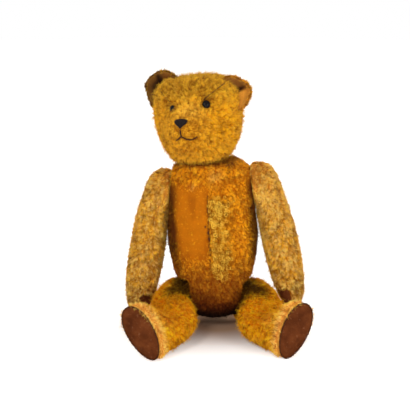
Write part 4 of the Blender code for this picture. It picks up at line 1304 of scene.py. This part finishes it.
class LegLook(Look):
    """Golden over the shin, dark with painted shade inside and over the thigh, and blond round the sole."""

    # The thigh colour is painted shade where the torso and the arm crowd the thigh
    gold, thigh, under = (250, 176, 16), (62, 26, 6), (150, 84, 14)
    instep, rim = (220, 152, 46), (240, 186, 96)

    def __init__(self, name):
        self.name, self.side, self.seed = name, HIPS[name]["side"], 81 if name == "left" else 191
        self.length = HIPS[name]["length"]

    def ahead(self, p):
        """How far towards the toe, on a leg of plain length."""
        return -p[..., 1] / self.length

    def edge(self, p):
        """The ragged edge of the leg's patches."""
        return waver(p, 0.012, self.seed + 5, 0.016)

    def soiled(self, p):
        """The dark inner and upper side of the thigh: painted shade where the torso and the arm crowd it."""
        out, edge = p[..., 0] * self.side, self.edge(p)
        along = ramp(0.056, 0.034, self.ahead(p) + edge)
        return ramp(0.030, 0.014, out + edge) * along * ramp(-0.012, 0.004, p[..., 2])

    def colour(self, p):
        ahead, up = self.ahead(p), p[..., 2]
        base = self.mottled(p, linear(self.gold), 0.42)
        # Painted shade inside and over the thigh
        base = dyed(base, self.thigh, self.soiled(p) * 0.94)
        base = dyed(base, self.under, ramp(-0.008, -0.020, up) * ramp(0.105, 0.085, ahead) * 0.6)
        base = dyed(base, self.instep, ramp(0.078, 0.100, ahead + self.edge(p)) * ramp(0.0, 0.012, up) * 0.6)
        return dyed(base, self.rim, ramp(0.110, 0.117, ahead) * 0.85)

    def blonding(self, p):
        # Fewer blond tips on the thigh's painted shade
        return 0.8 - 0.75 * self.soiled(p)

    def hair(self, p):
        style = super().hair(p)
        ahead = self.ahead(p)
        toe = ramp(0.104, 0.115, ahead)
        style["length"] = np.where(p[..., 2] < -0.022, 0.0016, 0.0040)
        style["rise"] = 0.74 + 0.20 * toe
        style["comb"] = np.stack([0 * ahead, 1.5 * toe - 0.75, -0.5 + 0 * ahead], -1)
        return style

    def cover(self, p):
        """Everywhere but under the sole's pad."""
        on_sole = inside(sole_frame(self.name), moved(LEG_FRAMES[self.name], p))
        reach = np.hypot(on_sole[..., 0] / SOLE_PAD[0], on_sole[..., 1] / SOLE_PAD[1])
        return 1 - ramp(1.10, 1.00, reach) * ramp(-0.010, -0.006, on_sole[..., 2])

    def curled(self, p):
        return super().curled(p) * ramp(0.112, 0.104, self.ahead(p))


class EarLook(Look):
    """Furry behind and round the rim, nearly bare in front."""

    shades = {"left": (206, 144, 50), "right": (126, 82, 36)}

    def __init__(self, name):
        self.name, self.seed = name, 101 if name == "left" else 111
        self.middle = np.array(EARS[name]["centre"])
        self.radius = EARS[name]["radius"]

    def colour(self, p):
        return self.mottled(p, linear(self.shades[self.name]), 0.35)

    def cover(self, p):
        far = np.linalg.norm(p - self.middle - np.array([0, -0.008, 0]), axis=-1) / self.radius
        behind = ramp(-0.012, -0.004, p[..., 1] - self.middle[1])
        return np.clip(0.12 + behind + 2.4 * ramp(0.84, 0.98, far), 0, 3) * 0.5

    def hair(self, p):
        style = super().hair(p)
        style["comb"] = p - self.middle + np.array([0.0, 0.002, 0.0])
        style["length"] = np.full(len(p), 0.0028)
        style["tuft"] = 0.0020
        style["gather"] = 0.15
        return style


# ---------------------------------------------------------------- ears, face and pads


def ear_grid(name, front, back, rows=22, columns=72):
    """One cloth of an ear as a closed grid: out along the front of the cup and in along its back.
    The cup's height is its depth times the squared reach, less a pinch along its middle, and its
    lower edge curls up by the cubed reach. Given back: the points, and each one's place on the
    unit disc and its reach."""
    ear = EARS[name]
    reach, seen, a = lens_grid(rows, columns)
    edge = reach**8
    level = np.where(seen > 0.5, front, back) * (1 - edge) + (front + back) / 2 * edge
    ripple = 1 + 0.03 * np.sin(3 * a + ear["side"]) + 0.02 * np.sin(5 * a)
    x, y = ear["radius"] * reach * np.cos(a) * ripple, ear["radius"] * reach * np.sin(a) * ripple
    pinch = np.exp(-((y / (0.3 * ear["radius"])) ** 2))
    z = EAR_CUP * reach**2 - EAR_CREASE * pinch * reach
    z = z + ear["curl"] * ramp(0.0, -0.9, y / ear["radius"]) * reach**3
    z = z + 0.0006 * np.sin(x * 700 + 2 * ear["side"]) * reach
    points = np.stack([x, y, z], -1)
    face = unit(np.cross(np.gradient(points, axis=0) + 1e-9, np.gradient(points, axis=1) + 1e-9))
    face = np.where(face[..., 2:] < 0, -face, face)
    face[[0, -1]] = np.array([0, 0, 1.0])
    face = np.where(reach[..., None] > 0.999, np.array([0, 0, 1.0]), face)
    stand = Matrix(((1, 0, 0, 0), (0, 0, -1, 0), (0, 1, 0, 0), (0, 0, 0, 1)))
    yaw = Matrix.Rotation(EAR_YAW * ear["side"], 4, "Z")
    place = HEAD @ Matrix.Translation(ear["centre"]) @ yaw @ stand
    disc = np.stack([x, y], -1) / ear["radius"]
    return moved(place, points + face * level[..., None]), disc, np.broadcast_to(reach, x.shape)


def lining_tint(name, disc, reach):
    """Bruised brown lining, rubbed paler near the rim, with painted light where the cup turns up and
    painted shade in its deep crease: upright and brown on its outer side on the right ear, and
    across with a golden lit lobe under it on the left."""
    x, y = disc[..., 0], disc[..., 1]
    p = np.stack([x, y, 0 * x], -1)
    shades, ragged = LINING[name], waver(p, 0.35, 9, 0.3)
    base = dyed(linear(shades["brown"]), shades["bruise"], ramp(0.4, 0.7, clouds(p, 0.3, 5)))
    if name == "right":
        # Painted light where the cup turns up, and painted shade in its crease
        lit = ramp(-0.26, 0.0, x - 0.2 * y + ragged * 0.5) * 0.85
        crease = np.exp(-(((x + 0.42 - 0.2 * y + ragged * 0.3) / 0.13) ** 2)) * ramp(1.0, 0.8, np.abs(y))
    else:
        lit = ramp(0.06, -0.12, y - 0.3 * x + ragged * 0.5) * 0.9
        crease = np.exp(-(((y - 0.35 * x - 0.10 + ragged * 0.4) / 0.085) ** 2)) * ramp(1.0, 0.5, np.abs(x))
    base = dyed(dyed(base, shades["gold"], lit), LINING_RIM, ramp(0.62, 0.95, reach) * 0.35)
    return dyed(base, LINING_CREASE, crease * 0.9)


def gusset_line(z):
    """How far a gusset seam lies from the middle at a height: steep beside the nose, flatter over
    the brow."""
    return 0.0050 + 0.85 * np.clip(z - 0.052, 0, 0.016) + 1.35 * np.maximum(0.0, z - 0.068)


def mouth_height(sweep):
    """The smile's height for its share of the way to either end: each half is most of half a sine
    wave."""
    return MOUTH["at"] - MOUTH["drop"] * np.sin(math.pi * 0.80 * np.abs(sweep))


def loose_threads():
    """Broken ends of the neck's gathering thread: short arcs that stand off the cloth and droop."""
    rng = np.random.default_rng(99)
    t = np.linspace(0, 1, 16)
    ends = []
    for x, y in LOOSE_ENDS:
        turn, long = rng.uniform(0, TAU), rng.uniform(*LOOSE_THREAD["length"])
        up = LOOSE_THREAD["height"] + long * np.sin(2.6 * t) * 0.7
        path = np.stack([x + long * t * math.cos(turn), y - 0.004 * t - 0.001, up], -1)
        ends.append(tube(moved(TORSO, path), LOOSE_THREAD["thread"] * (1 - 0.5 * t), 5))
    return ends


class Facing:
    """A dressed form seen along a placement's Y, asked for what lies at a place across and up."""

    blur = 0.0009

    def __init__(self, points, normals, placement):
        self.placement = placement
        local = inside(placement, points.reshape(-1, 3))
        toward = turned(placement.inverted(), normals.reshape(-1, 3))
        seen = self.seen(local, toward)
        self.local, self.normals = local[seen], toward[seen]

    def seen(self, local, toward):
        """Which grid points face the eye."""
        return toward[:, 1] < -0.05

    def at(self, x, z):
        """The form's point and direction: a mean of the nearest grid points, weighted by e to the
        minus of their squared distance."""
        x, z = np.atleast_1d(x), np.atleast_1d(z)
        far = (self.local[None, :, 0] - x[:, None]) ** 2 + (self.local[None, :, 2] - z[:, None]) ** 2
        weight = np.exp(-(far - far.min(1, keepdims=True)) / self.blur**2)
        weight /= weight.sum(1, keepdims=True)
        return np.stack([x, weight @ self.local[:, 1], z], -1), unit(weight @ self.normals)

    def path(self, x, z, lift):
        """Points in the world that stand off the form by a lift."""
        at, normal = self.at(x, z)
        return moved(self.placement, at + normal * lift)

    def stand(self, x, z, lift):
        """A placement in the world that stands off the form by a lift, with Z away from it."""
        at, normal = self.at(x, z)
        return self.placement @ standing(normal[0], at[0] + normal[0] * lift)


class Face(Facing):
    """The dressed head, seen from the front."""

    def seen(self, local, toward):
        """Which grid points lie in the front half."""
        return local[:, 1] < -0.005


def dome_mesh(width, height, dome, back, taper, placement, ridges=0, rows=28, columns=72):
    """A closed lens. Half sizes across and up, a front that rises as the root of 1 minus the squared
    reach, a flatter back, sides that narrow downwards, and raised threads if ridges are asked for."""
    reach, front, a = lens_grid(rows, columns)
    reach = np.sin(reach * math.pi / 2)
    rise = np.sqrt(np.maximum(0, 1 - reach**2))
    x, y = reach * np.cos(a), reach * np.sin(a)
    narrow = taper + (1 - taper) * np.clip(y * 1.3, -1, 1)
    z = np.where(front > 0.5, rise * dome, -rise * back)
    if ridges:
        z = z + front * 0.00022 * np.abs(np.sin(x * ridges * math.pi)) * np.sqrt(rise)
    points = np.stack(np.broadcast_arrays(x * width * narrow, y * height, z), -1)
    return closed_mesh(moved(placement, points))


def sole_frame(name):
    """A placement on the toe's end: X outwards, Y up the sole, Z ahead."""
    leg = HIPS[name]
    centre = Matrix.Translation((SOLE_CENTRE[0] * leg["side"], -TOE * leg["length"], SOLE_CENTRE[1]))
    lean = Matrix.Rotation(SOLE_LEAN * leg["lean"] * leg["side"], 4, "Y")
    return LEG_FRAMES[name] @ centre @ lean @ Matrix.Rotation(math.radians(90), 4, "X")


def on_sole(name, x, y, z, spare, waves, floor):
    """Places on the unit disc carried to the sole: an oval that narrows towards the heel, grown by
    a spare width, with its edge in waves, kept off the floor."""
    wide = (SOLE_PAD[0] + spare) * (1 + HEEL_TAPER * (y - 1)) * waves
    points = moved(sole_frame(name), np.stack([x * wide, y * (SOLE_PAD[1] + spare) * waves, z], -1))
    points[..., 2] = np.maximum(points[..., 2], floor)
    return points


def sole_mesh(name, rows=40, columns=96):
    """A felt oval, narrower at the heel, that bulges ahead by 1 minus the fourth power of the reach."""
    reach, front, a = lens_grid(rows, columns)
    x, y = reach * np.cos(a), reach * np.sin(a)
    bulge = SETTINGS.sole_bulge * (1 - reach**4) - 0.0006 * reach**12
    dents = waver(np.stack([x, y, 0 * x], -1), 0.45, 7 + HIPS[name]["side"], 0.0016)
    z = np.where(front > 0.5, bulge + dents * (1 - reach**3), SOLE_BACK)
    pucker = 1 + 0.012 * np.sin(26 * a) * reach**6
    return closed_mesh(on_sole(name, x, y, z, SOLE_SPARE, pucker, PILE_FLOOR))


def sole_ring(name, count=260):
    """A thread laid round the sole's edge: an oval path that wavers in and out as it is stitched."""
    a = np.linspace(0, TAU, count)
    radius, z = SOLE_THREAD["radius"], SOLE_THREAD["lift"] + 0.0003 * np.sin(52 * a)
    waves = 1 + 0.010 * np.sin(38 * a)
    return tube(on_sole(name, np.cos(a), np.sin(a), z, SOLE_THREAD["out"], waves, radius), radius, 6)


def paw_placement(name):
    """A placement in the paw whose -Y looks out of the pad."""
    side = SHOULDERS[name]["side"]
    middle = Matrix.Translation((PAW_PAD["middle"][0] * side, PAW_PAD["middle"][1], 0))
    return ARM_FRAMES[name] @ middle @ Matrix.Rotation(-PAW_PAD["facing"] * side, 4, "Z")


def on_paw_pad(name, local, spare=0.0):
    """1 inside the pad's tongue, in the arm's own frame."""
    p = inside(paw_placement(name), moved(ARM_FRAMES[name], local))
    x = p[..., 0] / (PAW_PAD["half_width"] + spare)
    z = (p[..., 2] + PAW_PAD["top"] + PAW_PAD["half_height"]) / (PAW_PAD["half_height"] + spare)
    return ramp(1.08, 0.96, np.abs(x) ** PAD_SQUARENESS + np.abs(z) ** PAD_SQUARENESS) * (p[..., 1] < 0)


def paw_pad_mesh(name, points, normals, rows=24, columns=64):
    """A felt tongue laid on the paw: a squared oval, raised off the skin and tucked in at its edge."""
    paw = Facing(points, normals, paw_placement(name))
    t = np.linspace(0, 1, rows)[:, None]
    c, s = rounded(np.linspace(-math.pi, math.pi, columns + 1), PAD_SQUARENESS)
    x, z = t * c * PAW_PAD["half_width"], (t * s - 1) * PAW_PAD["half_height"] - PAW_PAD["top"]
    at, normal = (v.reshape(rows, -1, 3) for v in paw.at(x.ravel(), z.ravel()))
    raised = (PAW_PAD["raised"] * (1 - t**8) - PAW_PAD["tucked"])[..., None]
    grid = np.concatenate([at + normal * raised, (at - normal * PAW_PAD["sunk"])[::-1]])
    grid[:, -1] = grid[:, 0]
    return closed_mesh(moved(paw.placement, grid))


# ---------------------------------------------------------------- sizes and colours


class BearCloth(bpy.types.PropertyGroup):
    """How the mohair is made up."""

    pile_length: bpy.props.FloatProperty(
        name="Pile length",
        description="Length of the mohair where it isn't worn",
        default=PILE_LENGTH,
        unit="LENGTH",
    )
    pile_depth: bpy.props.FloatProperty(
        name="Pile depth",
        description="How far the backing lies inside the bear's outline",
        default=0.0024,
        unit="LENGTH",
    )
    thickness: bpy.props.FloatProperty(
        name="Pile thickness",
        description="Share of the full count of hairs",
        default=1.0,
        subtype="FACTOR",
    )
    lumps: bpy.props.FloatProperty(
        name="Lumps", description="How uneven the stuffing is", default=0.0008, unit="LENGTH"
    )
    sole_bulge: bpy.props.FloatProperty(
        name="Sole bulge", description="How far the felt soles swell", default=0.0024, unit="LENGTH"
    )


class BearColours(bpy.types.PropertyGroup):
    """Colours that are one all over a piece."""

    felt_dark: bpy.props.FloatVectorProperty(
        name="Felt", description="Unrubbed felt of the pads, 0 to 255", default=(78, 36, 13), size=3
    )
    felt_light: bpy.props.FloatVectorProperty(
        name="Rubbed felt", description="Rubbed felt of the pads, 0 to 255", default=(112, 58, 27), size=3
    )
    stitch: bpy.props.FloatVectorProperty(
        name="Stitching", description="Nose and mouth thread, 0 to 255", default=(12, 8, 7), size=3
    )


class BearStudio(bpy.types.PropertyGroup):
    """Camera and light."""

    azimuth: bpy.props.FloatProperty(
        name="Azimuth", description="Camera's bearing from straight ahead, in degrees", default=4.5
    )
    elevation: bpy.props.FloatProperty(
        name="Elevation", description="Camera's height above the horizon, in degrees", default=13.0
    )
    distance: bpy.props.FloatProperty(
        name="Distance", description="Camera to the bear", default=1.2, unit="LENGTH"
    )
    lens: bpy.props.FloatProperty(name="Lens", description="Focal length in millimetres", default=97.55)
    light: bpy.props.FloatProperty(
        name="Light", description="Share of the plain studio level", default=1.0, subtype="FACTOR"
    )


# ---------------------------------------------------------------- studio


def floor_finish():
    """A pale floor with a painted shadow and painted warm bounce close under the bear, that glows for the
    camera outside it.
    """
    floor = Finish("pale_floor", 0.9, 0.0)
    away = floor.add("ShaderNodeVectorMath", operation="LENGTH")
    floor.link(floor.place(shift=UNDER_TORSO), away.inputs[0])
    floor.colour(floor.ramp(away.outputs["Value"], *FLOOR_SHADES))
    clear = floor.add("ShaderNodeMapRange", interpolation_type="SMOOTHSTEP")
    for socket, value in FLOOR_GLOW.items():
        clear.inputs[socket].default_value = value
    floor.link(away.outputs["Value"], clear.inputs["Value"])
    glow = floor.add("ShaderNodeEmission")
    glow.inputs["Color"].default_value = (1, 0.985, 0.96, 1)
    floor.link(floor.maths("MULTIPLY", floor.seen(), clear.outputs["Result"]), glow.inputs["Strength"])
    both = floor.add("ShaderNodeAddShader")
    floor.link(floor.shader.outputs["BSDF"], both.inputs[0])
    floor.link(glow.outputs["Emission"], both.inputs[1])
    floor.link(both.outputs["Shader"], floor.tree.nodes["Material Output"].inputs["Surface"])
    return floor.material


def lay_floor():
    """A round floor: rings of points about a middle one."""
    r = np.linspace(*FLOOR_RADII, FLOOR_RINGS)[:, None]
    a = np.linspace(0, TAU, FLOOR_SIDES, endpoint=False)[None]
    ring = np.stack([r * np.cos(a), r * np.sin(a), 0 * r * a], -1).reshape(-1, 3)
    c = np.arange(FLOOR_SIDES)
    fan = np.stack([c, (c + 1) % FLOOR_SIDES, np.full(FLOOR_SIDES, len(ring))], -1)
    quads = grid_faces(FLOOR_RINGS, FLOOR_SIDES)[:, ::-1]
    new_object("floor", np.concatenate([ring, [[0, 0, 0]]]), [quads, fan], floor_finish(), None)


def light_surround(scene, light):
    """A surround that is white to the camera and softer as a light."""
    scene.world = bpy.data.worlds.new("pale_surround")
    scene.world.use_nodes = True
    sky = Tree(scene.world.node_tree)
    sky.tree.nodes.clear()
    soft, white = sky.add("ShaderNodeBackground"), sky.add("ShaderNodeBackground")
    soft.inputs["Strength"].default_value = SURROUND * light
    white.inputs["Color"].default_value = (1, 1, 1, 1)
    choose, output = sky.add("ShaderNodeMixShader"), sky.add("ShaderNodeOutputWorld")
    sky.link(sky.seen(), choose.inputs["Fac"])
    sky.link(soft.outputs["Background"], choose.inputs[1])
    sky.link(white.outputs["Background"], choose.inputs[2])
    sky.link(choose.outputs["Shader"], output.inputs["Surface"])


def looking(place, way):
    """A placement at a place that looks along a way."""
    return Matrix.Translation(place) @ way.to_track_quat("-Z", "Y").to_matrix().to_4x4()


def hang_lamps(scene, light):
    """Square lamps, each turned to the bear's middle."""
    for name, place, size, power in LAMPS:
        data = bpy.data.lights.new(name, "AREA")
        data.size, data.energy = size, power * light
        lamp = bpy.data.objects.new(name, data)
        scene.collection.objects.link(lamp)
        lamp.matrix_world = looking(place, (Vector(LAMP_AIM) - Vector(place)).normalized())


def set_camera(scene, studio):
    """The camera on its bearing and height, turned to its aim."""
    data = bpy.data.cameras.new("studio_camera")
    data.lens, data.sensor_width = studio.lens, 36.0
    data.clip_start, data.clip_end = 0.05, 20
    camera = bpy.data.objects.new("studio_camera", data)
    scene.collection.objects.link(camera)
    az, el = math.radians(studio.azimuth), math.radians(studio.elevation)
    back = Vector((math.sin(az) * math.cos(el), -math.cos(az) * math.cos(el), math.sin(el)))
    camera.matrix_world = looking(Vector(AIM) + back * studio.distance, -back)
    scene.camera = camera


# ---------------------------------------------------------------- operators


class BEAR_OT_studio(bpy.types.Operator):
    """Floor, pale surround, soft lights and the camera."""

    bl_idname = "bear.studio"
    bl_label = "Studio"

    def execute(self, context):
        scene, studio = context.scene, context.scene.bear_studio
        lay_floor()
        light_surround(scene, studio.light)
        hang_lamps(scene, studio.light)
        set_camera(scene, studio)
        scene.view_settings.view_transform = "Standard"
        return {"FINISHED"}


class BEAR_OT_torso(bpy.types.Operator):
    """The torso's skin, its pile and its front seam."""

    bl_idname = "bear.torso"
    bl_label = "Torso"

    def execute(self, context):
        look = TorsoLook()
        replaced = ("torso_cover", "torso_stuffing")
        points, normals = dress("torso", torso_form, replaced, look, 11)
        grow_halves("torso", points, normals, look, 12)
        curl("torso", points, normals, look, 14)
        chest = Facing(points, normals, TORSO)
        z = np.linspace(FRONT_SEAM["from"], FRONT_SEAM["to"], 160)
        x = 0.0005 * np.sin(z * 310) + 0.0003 * np.sin(z * 2300) - 0.0006
        lift = FRONT_SEAM["lift"] + 0.0004 * np.sin(z * 430)
        parts = [tube(chest.path(x, z, lift[:, None]), FRONT_SEAM["thread"], 6)]
        for across, up, size in look.tears:
            sizes = size * TEAR["width"], size, TEAR["dome"], TEAR["back"], TEAR["taper"]
            parts.append(dome_mesh(*sizes, chest.stand(across, up, TEAR["lift"]), rows=8, columns=24))
        seam = new_object("front_seam", *joined(parts), FINISH["seam"], "torso")
        return {"FINISHED"}


class BEAR_OT_head(bpy.types.Operator):
    """The head's skin and pile, and the ears."""

    bl_idname = "bear.head"
    bl_label = "Head and ears"

    def execute(self, context):
        look = HeadLook()
        replaced = ("head_cover", "head_stuffing")
        points, normals = dress("head", head_form, replaced, look, 21)
        grow_halves("head", points, normals, look, 22)
        curl("head", points, normals, look, 26)
        SHARED["face"] = Face(points, normals, HEAD)
        for number, name in enumerate(EARS):
            self.ear(name, 24 + number)
        return {"FINISHED"}

    def ear(self, name, seed):
        """An ear's lining in front, its mohair behind, and the pile behind and round the rim."""
        lining, disc, reach = ear_grid(name, *EAR_LINING)
        tint = flat(lining_tint(name, disc, reach))
        piece = new_object(f"ear_{name}_velvet", *closed_mesh(lining), FINISH["velvet"], "head", tint)
        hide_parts(f"ear_{name}_lining")
        look = EarLook(name)
        back = ear_grid(name, *EAR_BACK)[0]
        verts, faces = closed_mesh(back)
        tint = look.cloth(inside(HEAD, verts))
        piece = new_object(f"ear_{name}_mohair", verts, faces, FINISH["backing"], "head", tint)
        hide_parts(f"ear_{name}_back")
        rim = back[20:], grid_normals(back)[20:]
        grow(f"ear_{name}_pile", "head", *rim, PILE_COUNTS["ear"], look, seed)


class BEAR_OT_face(bpy.types.Operator):
    """Boot button eyes, the satin-stitched nose, the mouth's thread and the seams that show."""

    bl_idname = "bear.face"
    bl_label = "Eyes, nose and mouth"

    def execute(self, context):
        face = SHARED["face"]
        for name, place in EYES.items():
            out = EYE["back"] + EYE["gap"] - EYE_SUNK[name]
            sizes = EYE["radius"], EYE["radius"], EYE["dome"], EYE["back"], 1.0
            verts, faces = dome_mesh(*sizes, face.stand(*place, out))
            eye = new_object(f"eye_{name}_button", verts, faces, FINISH["button"], "head")
            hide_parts(f"eye_{name}")
        sizes = NOSE["width"] / 2, NOSE["height"] / 2, NOSE["dome"], NOSE["back"], NOSE["taper"]
        place = face.stand(0.0, NOSE["at"], NOSE["lift"])
        verts, faces = dome_mesh(*sizes, place, NOSE["stitches"], 40, 128)
        nose = new_object("nose_satin_stitch", verts, faces, FINISH["stitch"], "head")
        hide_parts("nose_stitching")
        sweep = np.linspace(-0.5, 1, 61)
        smile = face.path(MOUTH["reach"] * sweep, mouth_height(sweep), MOUTH["lift"])
        rise = np.linspace(NOSE["at"] - MOUTH["start"], MOUTH["at"], 20)
        stem = face.path(0 * rise, rise, MOUTH["lift"])
        parts = [tube(path, MOUTH["thread"]) for path in (smile, stem)]
        mouth = new_object("mouth_thread", *joined(parts), FINISH["stitch"], "head")
        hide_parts("mouth_stitching")
        z = np.linspace(BROW_SEAM["from"], BROW_SEAM["to"], 40)
        parts = []
        for side, lift in BROW_SEAM["lift"].items():
            path = face.path(side * gusset_line(z) + 0.0002 * np.sin(z * 4200), z, lift)
            parts.append(tube(path, BROW_SEAM["thread"], 6))
        seams = new_object("gusset_seams", *joined(parts), FINISH["seam"], "head")
        loose = new_object("loose_threads", *joined(loose_threads()), FINISH["seam"], "torso")
        return {"FINISHED"}


def dress_limb(body, place, replaced, look, seed):
    """An arm or a leg: its skin, its pile and its curls, each with its own seed."""
    points, normals = dress(body, place, replaced, look, seed)
    grow(body + "_pile", body, points, normals, PILE_COUNTS[kind(body)], look, seed + 2)
    curl(body, points, normals, look, seed + 4)
    return points, normals


class BEAR_OT_arms(bpy.types.Operator):
    """Both arms: skin, pile and felt paw pads."""

    bl_idname = "bear.arms"
    bl_label = "Arms"

    def execute(self, context):
        for number, name in enumerate(SHOULDERS):
            body, look = "arm_" + name, ArmLook(name)
            replaced = (body + "_cover", body + "_stuffing")
            points, normals = dress_limb(body, arm_form(name), replaced, look, 31 + number)
            verts, faces = paw_pad_mesh(name, points, normals)
            pad = new_object(f"paw_{name}_felt", verts, faces, FINISH["felt"], body)
            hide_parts(f"paw_pad_{name}")
        return {"FINISHED"}


class BEAR_OT_legs(bpy.types.Operator):
    """Both legs: skin, pile and felt soles with their stitched edges."""

    bl_idname = "bear.legs"
    bl_label = "Legs"

    def execute(self, context):
        for number, name in enumerate(HIPS):
            body, look = "leg_" + name, LegLook(name)
            replaced = (body + "_cover", body + "_stuffing", f"foot_{name}_cover")
            dress_limb(body, leg_form(name), replaced, look, 41 + number)
            verts, faces = sole_mesh(name)
            pad = new_object(f"sole_{name}_felt", verts, faces, FINISH["felt"], body)
            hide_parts(f"sole_pad_{name}")
            ring = new_object(f"sole_{name}_seam", *sole_ring(name), FINISH["seam"], body)
        return {"FINISHED"}


class BEAR_OT_joints(bpy.types.Operator):
    """The discs, washers and split pins keep their shapes and get their card and steel."""

    bl_idname = "bear.joints"
    bl_label = "Joint hardware"

    def execute(self, context):
        for name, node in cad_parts.items():
            finish = FINISH["card"] if name.endswith("_disc") else FINISH["steel"]
            if name.endswith(("_disc", "_washer", "_split_pin")):
                node.data.materials.clear()
                node.data.materials.append(finish)
        return {"FINISHED"}


class BEAR_PT_panel(bpy.types.Panel):
    """Lists the bear's makers and sizes."""

    bl_label = "Teddy Bear"
    bl_idname = "BEAR_PT_panel"
    bl_space_type = "VIEW_3D"
    bl_region_type = "UI"
    bl_category = "Teddy Bear"

    def draw(self, context):
        scene = context.scene
        for group in (scene.bear_cloth, scene.bear_colours, scene.bear_studio):
            box = self.layout.box()
            for name in group.__annotations__:
                box.prop(group, name)
        for operator in OPERATORS:
            self.layout.operator(operator.bl_idname)


GROUPS = {"bear_cloth": BearCloth, "bear_colours": BearColours, "bear_studio": BearStudio}
OPERATORS = (
    BEAR_OT_studio,
    BEAR_OT_torso,
    BEAR_OT_head,
    BEAR_OT_face,
    BEAR_OT_arms,
    BEAR_OT_legs,
    BEAR_OT_joints,
)


def register():
    """Makes the bear's classes known, and hangs its sizes and colours on the scene."""
    for cls in (*GROUPS.values(), *OPERATORS, BEAR_PT_panel):
        bpy.utils.register_class(cls)
    for name, group in GROUPS.items():
        setattr(bpy.types.Scene, name, bpy.props.PointerProperty(type=group))


def unregister():
    """Takes all that back."""
    for name in GROUPS:
        delattr(bpy.types.Scene, name)
    for cls in reversed((*GROUPS.values(), *OPERATORS, BEAR_PT_panel)):
        bpy.utils.unregister_class(cls)


def main():
    """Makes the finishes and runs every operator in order."""
    global SETTINGS
    register()
    SETTINGS = bpy.context.scene.bear_cloth
    colours = bpy.context.scene.bear_colours
    FINISH.update(
        backing=woven_backing(),
        pile=mohair_pile(),
        felt=wool_felt("brown_felt", colours.felt_dark, colours.felt_light, (76, 52, 36)),
        velvet=ear_velvet(),
        button=boot_button(),
        stitch=thread("black_floss", colours.stitch, (40, 28, 24)),
        seam=thread("brown_seam_thread", (44, 20, 8), (104, 60, 28)),
        card=pressed_card(),
        steel=dull_steel(),
    )
    for operator in OPERATORS:
        group, name = operator.bl_idname.split(".")
        getattr(getattr(bpy.ops, group), name)()


if __name__ == "__main__":
    main()
